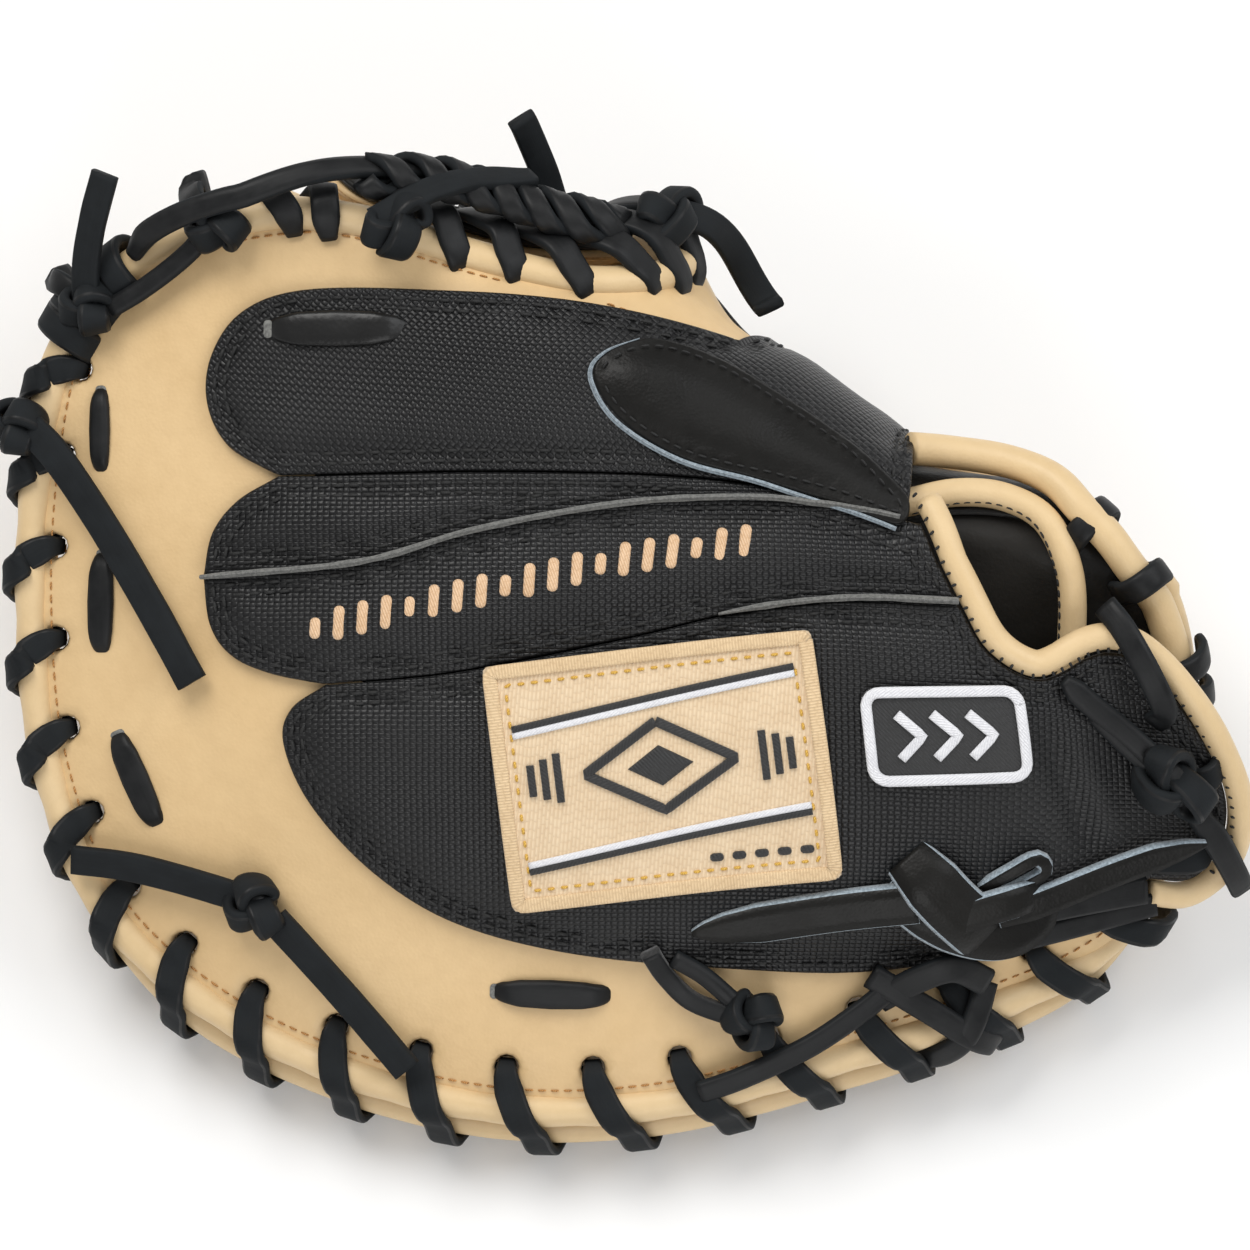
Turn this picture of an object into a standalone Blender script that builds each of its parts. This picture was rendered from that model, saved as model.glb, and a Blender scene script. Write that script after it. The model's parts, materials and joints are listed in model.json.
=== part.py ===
"""A 34 inch baseball catcher's mitt, laid palm down, built as its leather, padding, rolled edges and laces.

The mitt is drawn the way it is cut: flat. A point of a piece has three numbers in millimetres:
u runs from the finger tips (-) to the wrist (+), s runs across the leather from the little
finger's edge (-), over the fold, to the thumb's edge (+), and n is the height over the back of the mitt.
surface() folds that flat pattern into the closed mitt, and seat() lays it on the floor.
"""

import math

import bmesh
import bpy
import numpy as np
from mathutils import Vector

# ---- driving dimensions, in millimetres and radians ----
MM = 0.001
REST_TILT = math.radians(15)  # the finger half's slope when the mitt lies palm down
SEAT = (0.4, -3.95, 74.1)  # moves the origin to the middle of the footprint, at the floor
FOLD_ANGLE = math.radians(98)  # between the finger half and the thumb half
SPLIT_ANGLE = math.radians(52)  # where the two bodies part, within the fold
SPLIT_GAP = 1.6
LEATHER = 2.2
GAP = 0.6
PANEL = (1.2, 3.2)  # the lower and upper face of a back panel, above the cream leather
CELL = (18.0, 10.0)  # the grid that every sheet is cut from, the same for all so that layers lie parallel
RIM_DEPTH = 8.5  # from the back to the palm face, at the edge
SHEET_INSET = 9.2  # where a sheet ends, beside its rolled edge
BACK_ROLL = (4.2, -0.5)  # inset and height of the centre of the back's rolled edge
PALM_ROLL = (2.7, -8.5)
ROLL_RADIUS = 3.5
HOLE_INSET = 14.0
HOLE_RADIUS = 3.3
LACE_RADIUS = 1.6
LACE_PITCH = 22.5
STRETCH_TURNS = 3  # how many turns of the edge lace are one solid
LINER = 1.5

HINGE = ((-60, 90, -30), (100, 12, -30))  # two folded points of the line that the thumb half bends about

# Where the fold starts across the leather, and its radius, along u.
FOLD_START = [(-150, 132), (-100, 112), (-60, 90), (0, 58), (35, 38), (63, 24), (100, 19), (130, 8), (150, 0)]
FOLD_RADIUS = [(-150, 24), (-60, 24), (-30, 29), (0, 37), (26, 33), (60, 25), (100, 25), (150, 25)]
BOWL_DEPTH, BOWL_CENTRE, BOWL_RADII = 28.0, (-5.0, 32.0), (137.0, 144.0)

# ---- outlines of the flat pattern, as (u, s), each the points of a smooth curve ----
FINGER_RIM = [
    (107, 39), (116, 29), (127, 12), (133, -10), (132, -36), (123, -62), (107, -78), (80, -90),
    (45, -101), (8, -110), (-29, -111), (-66, -102.5), (-100, -86), (-126, -61), (-139, -27),
    (-142.5, 8), (-141, 42), (-135, 71), (-121, 89.5), (-98, 101.5), (-75, 105.5), (-57, 104),
    (-40, 98.5), (-20, 93), (0, 88), (17, 80),
]
THUMB_RIM = [
    (20, 92), (8, 104), (-10, 117), (-30, 129), (-50, 139), (-66, 147), (-73, 159), (-64, 172), (-45, 180),
    (-20, 178), (10, 163), (35, 141), (63, 115), (84, 97), (96, 78), (102, 62), (105, 47),
]
WEB = [
    (13, 90), (-5, 98), (-25, 103.5), (-45, 110), (-59, 115.5), (-64, 121), (-65, 128), (-60, 133),
    (-49, 129), (-30, 119), (-12, 108), (5, 97),
]
INDEX_EDGE = [(24, 70), (-15, 80), (-47, 83), (-74, 83), (-88, 78), (-95, 68), (-96, 57), (-91, 47), (-79, 40)]
MIDDLE_EDGE = [(-79, 40), (-88.5, 34.5), (-94.5, 27), (-96.5, 17)]
RING_EDGE = [(-96.5, 17), (-95, 6), (-90, -1), (-81, -5), (-68, -7.5)]
LITTLE_EDGE = [
    (-68, -7.5), (-76, -13), (-78, -21), (-72, -35), (-58, -50.5), (-40, -62), (-15, -69), (16, -72.5),
    (54, -74), (86, -68), (106, -57), (117, -50),
]
CUFF_EDGE = [
    (117, -50), (127, -50), (133, -42), (135, -29), (131, -15), (124.5, -3), (114.5, 6.5), (101.5, 5.5), (91, 0),
    (82, 7), (76, 15),
]
OPENING_EDGE = [(76, 15), (70, 24), (66, 29), (65, 41)]
INDEX_SEAM = [(-79, 40), (-29, 41), (17, 39.5), (50, 34.5), (66, 29)]
MIDDLE_SEAM = [(-96.5, 17), (-60, 20.5), (-35, 27.5), (-6, 33), (10, 34)]
RING_SEAM = [(-68, -7.5), (-38, -4.5), (0, 3), (25, 9), (50, 13), (76, 15)]
BAND_INNER = [
    (26, 66), (-15, 71), (-47, 75), (-74, 74), (-84, 66), (-86, 56), (-70, 38), (-84, 27), (-86, 15), (-80, 5),
    (-58, -9), (-68, -20), (-61, -32), (-49, -45), (-32, -56), (-10, -61), (16, -64), (54, -66), (84, -63), (108, -54),
]
THUMB_PANEL = [
    (68, 52), (76, 57), (81, 63), (79, 74), (67, 87), (50, 102), (28, 125), (3, 144), (-22, 157), (-40, 160),
    (-45, 155), (-40, 149), (-26, 143), (-6, 131), (14, 117), (29, 102), (36, 88),
]
FINGER_PAD = [
    (-4, 72), (8, 73), (24, 67), (44, 56), (58, 44), (61, 33), (52, 33), (34, 40), (16, 47), (0, 56), (-8, 66),
]
LINING = [
    (111, -47), (112, -28), (109, -10), (102, 5), (93, 16), (80, 25), (62, 33), (35, 52), (8, 62), (-30, 66), (-66, 58),
    (-82, 32), (-82, -4), (-70, -38), (-40, -56), (0, -62), (50, -66), (86, -62), (103, -56),
]
LINER_LIP = [(64, 33, 1), (74, 36, 2), (86, 37, 1), (98, 30, 1), (103, 16, 1), (103, 2, 1), (101, -12, 1)]
FINGER_PADDING = ((-5, -16), (100, 60))  # centre and radii
THUMB_CENTRE, THUMB_TURN = (14, 119), math.radians(-38)
THUMB_PAD = [
    (58, 90), (44, 102), (22, 121), (0, 140), (-20, 150), (-34, 152), (-36, 149), (-22, 142), (-2, 130), (18, 115),
    (32, 100), (44, 86), (56, 80),
]
HAND_CENTRE = (90, -14)

PATCH = ((8.0, -26.5), (74.0, 56.0), math.radians(7))  # centre, size and turn of the name patch
BADGE = ((70.0, -16.0), (35.0, 22.0), math.radians(5))

# The lace ends that hang free, as (u, s, n) points, with the knot that each starts from.
TAILS = {
    "tip_lace_tail": [(-120, 78, 9), (-121, 88, 11), (-119.5, 97, 12), (-118, 108, 13)],
    "web_lace_tail": [(-47, 96, 15), (-36, 99, 17), (-27, 105, 18)],
    "side_lace_tail": [(-132, 52, 9), (-126, 42, 6), (-116, 22, 4), (-107, 4, 4), (-100, -8, 5)],
    "heel_lace_tail": [(-82, -59, 4.5), (-74, -68, 4), (-63, -80, 4), (-50, -94, 7)],
    "corner_lace_tail": [(-93, -54, 4), (-105, -50, 4.5), (-118, -48, 5), (-130, -47, 8)],
    "padding_lace_tail": [(22, -83, 4), (15, -80, 3.6), (9, -76, 4), (5, -72, 5)],
}
KNOTS = {
    "tip_knot": ((-120, 70, 6), (5, 6, 3.5)),
    "middle_tip_knot": ((-97, 92, 6.8), (5.5, 6, 3.3)),
    "web_knot": ((-55, 92, 13), (6, 5, 3.5)),
    "side_knot": ((-137, 57, 9.8), (5, 4.5, 3.5)),
    "corner_knot": ((-87, -55, 5.5), (4.5, 5, 3.5)),
    "padding_knot": ((28, -84, 6), (5, 5, 4)),
}
PAD_STITCHES = {  # as (u, s) points, with the height of the lace's centre over the cream leather
    "index_pad_lace": ([(-80, 75), (-55, 75)], 6.6),
    "tip_pad_lace": ([(-121.5, 56), (-121.5, 42)], 2.6),
    "ring_pad_lace": ([(-121, 20), (-121, 1)], 2.6),
    "corner_pad_lace": ([(-116, -22), (-109, -38)], 2.6),
    "little_pad_lace": ([(-27, -78), (-6, -79)], 2.6),
}
# Flat laces over the back panels, as (u, s) points, with their width.
STRAPS = {
    "strap_left_end": ([(16, -64), (38, -58), (62, -52)], 6.0),
    "strap_right_end": ([(90, -48), (104, -43), (117, -38)], 6.0),
    "cuff_lace": ([(96, -2), (105, -9), (113, -18)], 5.0),
}
ROPE = [(-110, 86, 13), (-90, 98, 13), (-70, 103, 12), (-50, 104, 11), (-30, 97, 10.5), (-12, 92, 10.5), (3, 87, 10.5)]

CREAM, WEAVE, HIDE = "cream_leather", "black_weave", "black_leather"
LACE, WELT, FELT, CLOTH = "black_lace", "grey_welt", "felt", "patch_cloth"
FINISHES = {
    CREAM: ((0.80, 0.62, 0.39), 0.5),
    WEAVE: ((0.022, 0.022, 0.024), 0.55),
    HIDE: ((0.018, 0.018, 0.020), 0.45),
    LACE: ((0.020, 0.022, 0.027), 0.6),
    WELT: ((0.160, 0.160, 0.155), 0.9),
    FELT: ((0.550, 0.530, 0.480), 0.95),
    CLOTH: ((0.83, 0.66, 0.46), 0.85),
}


# ---- the folded shape ----
def through(table, u):
    """A smooth curve through a table of (u, value), level beyond its ends."""
    xs, ys = np.array(table, float).T
    slopes = np.gradient(ys, xs)
    i = np.clip(np.searchsorted(xs, u) - 1, 0, len(xs) - 2)
    width = xs[i + 1] - xs[i]
    t = np.clip((u - xs[i]) / width, 0, 1)
    start = (1 + 2 * t) * (1 - t) ** 2 * ys[i] + t * (1 - t) ** 2 * width * slopes[i]
    return start + t * t * (3 - 2 * t) * ys[i + 1] + t * t * (t - 1) * width * slopes[i + 1]


def dome(u, s, centre, radii, power=1.0, turn=0.0):
    """1 at the centre of an ellipse, falling to 0 at its edge."""
    du, ds = u - centre[0], s - centre[1]
    c, k = math.cos(turn), math.sin(turn)
    away = ((du * c + ds * k) / radii[0]) ** 2 + ((ds * c - du * k) / radii[1]) ** 2
    return np.clip(1 - away, 0, 1) ** power


def step(x, low, high):
    t = np.clip((x - low) / (high - low), 0, 1)
    return t * t * (3 - 2 * t)


def split_line(u):
    return through(FOLD_START, u) + through(FOLD_RADIUS, u) * SPLIT_ANGLE


def bowl(u, s):
    """How far the rim is pulled towards the pocket. It eases off over the fold."""
    away = ((u - BOWL_CENTRE[0]) / BOWL_RADII[0]) ** 2 + ((s - BOWL_CENTRE[1]) / BOWL_RADII[1]) ** 2
    over_fold = np.exp(-(((s - split_line(u)) / 45) ** 2))
    return BOWL_DEPTH * np.clip(away, 0, 1.6) ** 1.2 * (1 - 0.75 * over_fold)


def folded(u, s):
    """The back's surface as (u, v, w), with w towards someone who looks at the back."""
    start, radius, drop = through(FOLD_START, u), through(FOLD_RADIUS, u), bowl(u, s)
    angle = np.clip((s - start) / radius, 0, FOLD_ANGLE)
    flat = np.minimum(s - start, 0)
    past = np.maximum(s - start - radius * FOLD_ANGLE, 0)
    v = start + flat + (radius - drop) * np.sin(angle) + past * np.cos(angle)
    w = (radius - drop) * np.cos(angle) - radius - past * np.sin(angle)
    return np.stack(np.broadcast_arrays(u, v, w), axis=-1)


def surface(u, s, n):
    """Folds points of the flat pattern that lie n above the back."""
    u, s, n = np.broadcast_arrays(*(np.asarray(x, float) for x in (u, s, n)))
    normal = np.cross(folded(u + 1, s) - folded(u - 1, s), folded(u, s + 1) - folded(u, s - 1))
    normal /= np.linalg.norm(normal, axis=-1, keepdims=True)
    return folded(u, s) + normal * n[..., None]


def seat(points):
    """Lays folded points on the floor, in metres."""
    u, v, w = np.moveaxis(np.asarray(points, float), -1, 0)
    c, k = math.cos(REST_TILT), math.sin(REST_TILT)
    return (np.stack([u, v * c - w * k, v * k + w * c], axis=-1) + SEAT) * MM


def back_height(u, s):
    """The top of the cream leather on the back, which the fingers and the hand lift."""
    fingers = 6 * dome(u, s, (5, 8), (112, 84))
    hand = 14 * step(u, 5, 95) * dome(u, s, HAND_CENTRE, (400, 62))
    return fingers + hand


def palm_face(u, s):
    """The palm's outer face, which the padding pushes out on both sides of the fold."""
    fingers = 23 * dome(u, s, (-5, -14), (118, 84), 0.7)
    thumb = 12 * dome(u, s, THUMB_CENTRE, (74, 24), 0.7, THUMB_TURN)
    return -(RIM_DEPTH + fingers + thumb)


def hand_floor(u, s):
    """The top of the lining that the hand lies on."""
    return -(4 + 8 * dome(u, s, (20, -14), (100, 52), 0.8))


# ---- curves of the flat pattern ----
def smooth(points, parts=3, closed=False):
    """A Catmull-Rom curve through points, with that many parts between two of them."""
    p = np.array(points, float)
    before, after = (p[-1:], p[:2]) if closed else (2 * p[:1] - p[1:2], 2 * p[-1:] - p[-2:-1])
    p = np.vstack([before, p, after])
    t = (np.arange(parts) / parts)[:, None]
    rows = []
    for a, b, c, d in zip(p[:-3], p[1:-2], p[2:-1], p[3:]):
        bend = (2 * a - 5 * b + 4 * c - d) * t**2 + (3 * b - a - 3 * c + d) * t**3
        rows.append(0.5 * (2 * b + (c - a) * t + bend))
    rows = np.vstack(rows)
    return rows if closed else np.vstack([rows, p[-2]])


def spaced(line, distance):
    """The line again, with points about that far apart."""
    along = np.concatenate([[0], np.cumsum(np.linalg.norm(np.diff(line, axis=0), axis=1))])
    at = np.linspace(0, along[-1], max(2, round(along[-1] / distance) + 1))
    return np.stack([np.interp(at, along, line[:, k]) for k in range(line.shape[1])], axis=1)


def inset(line, distance):
    """The line moved into the mitt. The rims run with the mitt on their right."""
    ahead = np.gradient(line, axis=0)
    ahead /= np.linalg.norm(ahead, axis=1)[:, None]
    return line + np.stack([ahead[:, 1], -ahead[:, 0]], axis=1) * distance


def along_split(first_u, last_u, offset, parts=6):
    u = np.linspace(first_u, last_u, parts)
    return np.stack([u, split_line(u) + offset], axis=1)


def rectangle(centre, size, turn):
    """The corners of a turned rectangle, as (u, s)."""
    c, k = math.cos(turn), math.sin(turn)
    half = [(-0.5, -0.5), (0.5, -0.5), (0.5, 0.5), (-0.5, 0.5)]
    sides = [(x * size[0], y * size[1]) for x, y in half]
    return np.array([(centre[0] + x * c - y * k, centre[1] + x * k + y * c) for x, y in sides])


def ellipse(centre, radii, sides=20, turn=0.0):
    angle = np.arange(sides) * 2 * math.pi / sides
    x, y = radii[0] * np.cos(angle), radii[1] * np.sin(angle)
    c, k = math.cos(turn), math.sin(turn)
    return np.stack([centre[0] + x * c - y * k, centre[1] + x * k + y * c], axis=1)


# ---- building blocks ----
def clear_scene():
    for obj in list(bpy.data.objects):
        bpy.data.objects.remove(obj)


def collection(name):
    made = bpy.data.collections.new(name)
    bpy.context.scene.collection.children.link(made)
    return made


def material(name):
    found = bpy.data.materials.get(name)
    if found is None:
        colour, roughness = FINISHES[name]
        found = bpy.data.materials.new(name)
        found.use_nodes = True
        shader = found.node_tree.nodes["Principled BSDF"]
        shader.inputs["Base Color"].default_value = (*colour, 1)
        shader.inputs["Roughness"].default_value = roughness
        shader.inputs["Metallic"].default_value = 0.0
    return found


def helper(name, mesh):
    """An object that only cuts or guides."""
    obj = bpy.data.objects.new(name, mesh)
    obj.hide_render = True
    obj.display_type = "WIRE"
    HELPERS.objects.link(obj)
    return obj


def node(name, data, finish):
    """A finished sub-part."""
    data.materials.clear()
    data.materials.append(material(finish))
    obj = bpy.data.objects.new(name, data)
    MITT.objects.link(obj)
    return obj


def evaluated_mesh(obj):
    graph = bpy.context.evaluated_depsgraph_get()
    return bpy.data.meshes.new_from_object(obj.evaluated_get(graph))


def welded(mesh):
    work = bmesh.new()
    work.from_mesh(mesh)
    bmesh.ops.remove_doubles(work, verts=work.verts, dist=0.001)
    bmesh.ops.recalc_face_normals(work, faces=work.faces)
    work.to_mesh(mesh)
    work.free()
    return mesh


def outline_prism(name, outline):
    """A flat filled curve, thickened to pass through a sheet."""
    curve = bpy.data.curves.new(name, "CURVE")
    curve.dimensions = "2D"
    curve.fill_mode = "BOTH"
    curve.extrude = 2
    spline = curve.splines.new("POLY")
    spline.points.add(len(outline) - 1)
    spline.use_cyclic_u = True
    for point, (u, s) in zip(spline.points, outline):
        point.co = (u, s, 0, 1)
    guide = helper(name + "_curve", curve)
    mesh = welded(evaluated_mesh(guide))
    bpy.data.objects.remove(guide)
    return helper(name, mesh)


def hole_pins(name, places):
    """Pins that punch the lace holes through a sheet."""
    work = bmesh.new()
    for u, s in places:
        made = bmesh.ops.create_cone(
            work, cap_ends=True, segments=6, radius1=HOLE_RADIUS, radius2=HOLE_RADIUS, depth=6
        )
        bmesh.ops.translate(work, verts=made["verts"], vec=(u, s, 0.37))
    mesh = bpy.data.meshes.new(name)
    work.to_mesh(mesh)
    work.free()
    return helper(name, mesh)


def sheet(name, outline, low, high, finish, coarse=1, holes=()):
    """A piece of leather or padding: a flat grid cut to its outline, then folded.

    low and high give its lower and upper face over the pattern.
    """
    cell = np.array(CELL) * coarse
    corner = (np.floor(outline.min(axis=0) / cell) - 0.01) * cell
    across, up = np.ceil((outline.max(axis=0) - corner) / cell).astype(int)
    far = corner + np.array([across, up]) * cell
    work = bmesh.new()
    bmesh.ops.create_grid(work, x_segments=int(across), y_segments=int(up), size=0.5)
    for vertex in work.verts:
        vertex.co.x = corner[0] + (vertex.co.x + 0.5) * (far[0] - corner[0])
        vertex.co.y = corner[1] + (vertex.co.y + 0.5) * (far[1] - corner[1])
    mesh = bpy.data.meshes.new(name + "_grid")
    work.to_mesh(mesh)
    work.free()
    grid = helper(name + "_grid", mesh)
    thick = grid.modifiers.new("thickness", "SOLIDIFY")
    thick.thickness = 1
    thick.offset = 1
    cut = grid.modifiers.new("outline", "BOOLEAN")
    cut.operation = "INTERSECT"
    cut.object = outline_prism(name + "_outline", outline)
    if len(holes):
        punch = grid.modifiers.new("holes", "BOOLEAN")
        punch.operation = "DIFFERENCE"
        punch.object = hole_pins(name + "_holes", holes)
    flat = evaluated_mesh(grid)
    flat.name = name
    points = np.array([vertex.co for vertex in flat.vertices], float)
    u, s, share = points.T
    low_n, high_n = (edge(u, s) if callable(edge) else edge for edge in (low, high))
    folded = seat(surface(u, s, low_n + (high_n - low_n) * np.clip(share, 0, 1)))
    flat.vertices.foreach_set("co", folded.astype(np.float32).ravel())
    flat.update()
    for name_of_helper in ("_grid", "_outline", "_holes"):
        used = bpy.data.objects.get(name + name_of_helper)
        if used:
            bpy.data.objects.remove(used)
    return node(name, flat, finish)


def tube(name, points, radius, finish, sides=8, flat_ends=True):
    """A rolled edge or a lace: a line of folded points with a round section."""
    curve = bpy.data.curves.new(name, "CURVE")
    curve.dimensions = "3D"
    curve.bevel_depth = radius * MM
    curve.bevel_resolution = (sides - 4) // 2
    curve.use_fill_caps = flat_ends
    spline = curve.splines.new("POLY")
    spline.points.add(len(points) - 1)
    for point, place in zip(spline.points, points):
        point.co = (*place, 1)
    return node(name, curve, finish)


def tube_on(name, line, radius, finish, distance=8.0, sides=8):
    """A tube along (u, s, n) points of the pattern."""
    line = spaced(smooth(line), distance)
    return tube(name, seat(surface(*line.T)), radius, finish, sides)


def back(extra):
    return lambda u, s: back_height(u, s) + extra


def palm(extra):
    return lambda u, s: palm_face(u, s) + extra


def under_hand(extra):
    return lambda u, s: hand_floor(u, s) + extra


# ---- the pieces ----
def rolled_edges(side, rim):
    """The two rolled leather edges that run round one half, one over the other."""
    line = spaced(smooth(rim), 11)
    for name, (depth, height) in (("back_roll", BACK_ROLL), ("palm_roll", PALM_ROLL)):
        path = inset(line, depth)
        tube(f"{side}_{name}", seat(surface(path[:, 0], path[:, 1], height)), ROLL_RADIUS, CREAM, sides=6)


def hole_places(rim, first, last):
    """Where the edge lace passes through, evenly along the rim between two distances."""
    line = spaced(smooth(rim), 1.0)
    inner = inset(line, HOLE_INSET)
    count = round((last - first) / LACE_PITCH)
    at = np.round(np.linspace(first, last, count + 1)).astype(int)
    return at, inner[at]


def edge_lace(name, rim, at, bare=0):
    """One lace that winds round the rolled edges, in at one hole and out at the next.

    It is cut at every third hole into numbered stretches that nearly touch, and no leather covers the back
    before the distance bare.
    """
    line = spaced(smooth(rim), 1.0)
    loop = [  # inset, height over the face it lies on, that face, share of the way to the next hole
        (14, 2.6, back_height, 0), (4.2, 6.0, back_height, 0.25), (-1.4, 3.6, None, 0.36), (-3.4, -3, None, 0.42),
        (-3.6, -10, None, 0.5), (0, -5.6, palm_face, 0.6), (5, -5.4, palm_face, 0.75), (14, -2.6, palm_face, 1),
    ]
    turns = []
    for start, end in zip(at[:-1], at[1:]):
        places = []
        for depth, height, face, share in loop:
            along = round(start + (end - start) * share)
            here = inset(line, depth)[along]
            on_band = face is not back_height or along > bare
            places.append((*here, height + (face(*here) if face and on_band else 0)))
        turns.append(np.array(places))
    for number, first in enumerate(range(0, len(turns), STRETCH_TURNS), 1):
        stretch = turns[first:first + STRETCH_TURNS]
        if first + STRETCH_TURNS < len(turns):
            up_the_hole = turns[first + STRETCH_TURNS][0] - (0, 0, 2.6 + LEATHER)
            stretch = [*stretch, up_the_hole]
        path = np.vstack(stretch)
        tube(f"{name}_{number}", seat(surface(*path.T)), LACE_RADIUS, LACE, sides=4)


def finger_half():
    at, holes = hole_places(FINGER_RIM, 52, 520)
    rolled_edges("finger", FINGER_RIM)
    rim = inset(spaced(smooth(FINGER_RIM), 9), SHEET_INSET)
    palm_rim = inset(spaced(smooth(FINGER_RIM), 9), SHEET_INSET + 3.7)
    palm_outline = np.vstack([palm_rim, along_split(22, 96, -SPLIT_GAP)])
    sheet("finger_palm_leather", palm_outline, palm(0), palm(LEATHER), CREAM, holes=holes)
    sheet("finger_padding", ellipse(*FINGER_PADDING), palm(LEATHER + 3 * GAP), under_hand(-LINER - 2 * GAP), FELT, coarse=2)
    sheet("hand_lining", smooth(LINING, 2, True), under_hand(-LINER), under_hand(0), HIDE, coarse=2)
    bare = 12  # the rim's first points are the heel, where no cream leather covers the back
    band = np.vstack([rim[bare:], along_split(24, 27, -SPLIT_GAP, 2), smooth(BAND_INNER, 2)])
    sheet("back_band", band, back(-LEATHER), back(0), CREAM, holes=holes)
    edge_lace("finger_edge_lace", FINGER_RIM, at, bare * 9)


def back_panels():
    low, high = back(PANEL[0]), back(PANEL[1])
    half = 0.6
    index_seam, middle_seam, ring_seam = (smooth(seam) for seam in (INDEX_SEAM, MIDDLE_SEAM, RING_SEAM))
    opening = smooth(OPENING_EDGE)
    index = np.vstack([smooth(INDEX_EDGE)[:-1], index_seam + (0, half), (65, 40), along_split(62, 27, -SPLIT_GAP)])
    sheet("index_finger_panel", index, low, high, WEAVE)
    middle = np.vstack([
        smooth(MIDDLE_EDGE) - (0, half), (middle_seam + (0, 2.2))[1:], (index_seam - (0, half))[::-1][3:-1]
    ])
    sheet("middle_finger_panel", middle, low, high, WEAVE)
    ring = np.vstack([
        (smooth(RING_EDGE) - (0, 1.5))[:-1], ring_seam + (0, half), opening[1:4] - (0, half),
        (index_seam - (0, half))[::-1][:3], (middle_seam - (0, 1.5))[::-1][:-1]
    ])
    sheet("ring_finger_panel", ring, low, high, WEAVE)
    little = np.vstack([smooth(LITTLE_EDGE)[:-1], smooth(CUFF_EDGE)[:-1], (ring_seam - (0, half))[::-1]])
    sheet("little_finger_panel", little, low, high, WEAVE)
    welt = np.column_stack([middle_seam, back_height(*middle_seam.T) + PANEL[1] - 0.6])
    tube_on("finger_welt", welt[1:-1], 0.9, WELT, 9, 6)
    pad = smooth(FINGER_PAD, 2, True)
    sheet("index_finger_pad", pad, back(PANEL[1] + 1.2), back(PANEL[1] + 2.8), HIDE)


def thumb_half():
    at, holes = hole_places(THUMB_RIM, 148, 328)
    rolled_edges("thumb", THUMB_RIM)
    rim = inset(spaced(smooth(THUMB_RIM), 9), SHEET_INSET)
    outline = np.vstack([rim, along_split(92, 32, SPLIT_GAP)])
    sheet("thumb_palm_leather", outline, palm(0), palm(LEATHER), CREAM, holes=holes)
    pad = smooth(THUMB_PAD, 2, True)
    sheet("thumb_padding", pad, palm(LEATHER + 3 * GAP), -LEATHER - 2 * GAP, FELT)
    sheet("thumb_back_leather", outline, back(-LEATHER), back(0), CREAM, holes=holes)
    panel = np.vstack([smooth(THUMB_PANEL, 2), along_split(31, 64, SPLIT_GAP)])
    sheet("thumb_panel", panel, back(PANEL[0]), back(PANEL[1]), WEAVE)
    edge_lace("thumb_edge_lace", THUMB_RIM, at)


def web():
    outline = smooth(WEB, 2, True)
    sheet("web_back_leather", outline, -LEATHER, 0, HIDE)
    sheet("web_palm_leather", outline, -2 * LEATHER - GAP, -LEATHER - GAP, CREAM)


def wrist():
    """The rolled edges of the cuff and of the lining, round the opening that the hand goes in by."""
    edge = smooth(CUFF_EDGE + OPENING_EDGE[1:3])
    outward = inset(edge, 4.4)
    cuff = np.column_stack([outward, back_height(*outward.T) + 1.2])
    tube_on("cuff_binding", cuff[5:-2], 2.6, CREAM, 8)
    lip = np.array(LINER_LIP, float)
    lip[:, 2] -= 0.8
    tube_on("lining_binding", lip, 2.6, CREAM, 8)


def patches():
    """The name patch and the badge, sewn on over the panels."""
    low, high = PANEL[1] + 1.0, PANEL[1] + 2.2
    sheet("name_patch", rectangle(*PATCH), back(low), back(high), CLOTH)
    sheet("cuff_badge", rectangle(*BADGE), back(low), back(high), CLOTH)


def laces():
    for name, line in TAILS.items():
        line = spaced(smooth(np.array(line, float)), 7)
        height = back_height(line[:, 0], line[:, 1]) + line[:, 2]
        tube(name, seat(surface(line[:, 0], line[:, 1], height)), 1.8, LACE, sides=6)
    rope = np.array(ROPE, float)
    tube_on("web_rope_lace", rope, 1.9, LACE, 9, 6)
    for name, (line, above) in PAD_STITCHES.items():
        line = spaced(np.array(line, float), 6)
        height = back_height(*line.T) + above
        tube(name, seat(surface(*line.T, height)), 1.9, LACE, sides=6)
    for name, (line, width) in STRAPS.items():
        line = spaced(smooth(line), 8)
        edge = np.vstack([inset(line, width / 2), inset(line, -width / 2)[::-1]])
        sheet(name, edge, back(PANEL[1] + 1.2), back(PANEL[1] + 3.4), LACE)
    for name, (centre, radii) in KNOTS.items():
        knot(name, centre, radii)
    knot("strap_knot", (76, -54, 9.5), (11, 9, 4))
    knot("cuff_knot", (122, -27, 9.5), (6.5, 8, 4))


def knot(name, centre, radii):
    """A lace knot, as the rounded lump that it fills, above the back at that height."""
    u, s, above = centre
    here = surface(u, s, back_height(u, s) + above)
    work = bmesh.new()
    bmesh.ops.create_uvsphere(work, u_segments=8, v_segments=6, radius=1)
    mesh = bpy.data.meshes.new(name)
    work.to_mesh(mesh)
    work.free()
    shape = np.array([vertex.co for vertex in mesh.vertices]) * radii
    mesh.vertices.foreach_set("co", seat(here + shape).astype(np.float32).ravel())
    mesh.update()
    node(name, mesh, LACE)


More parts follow.
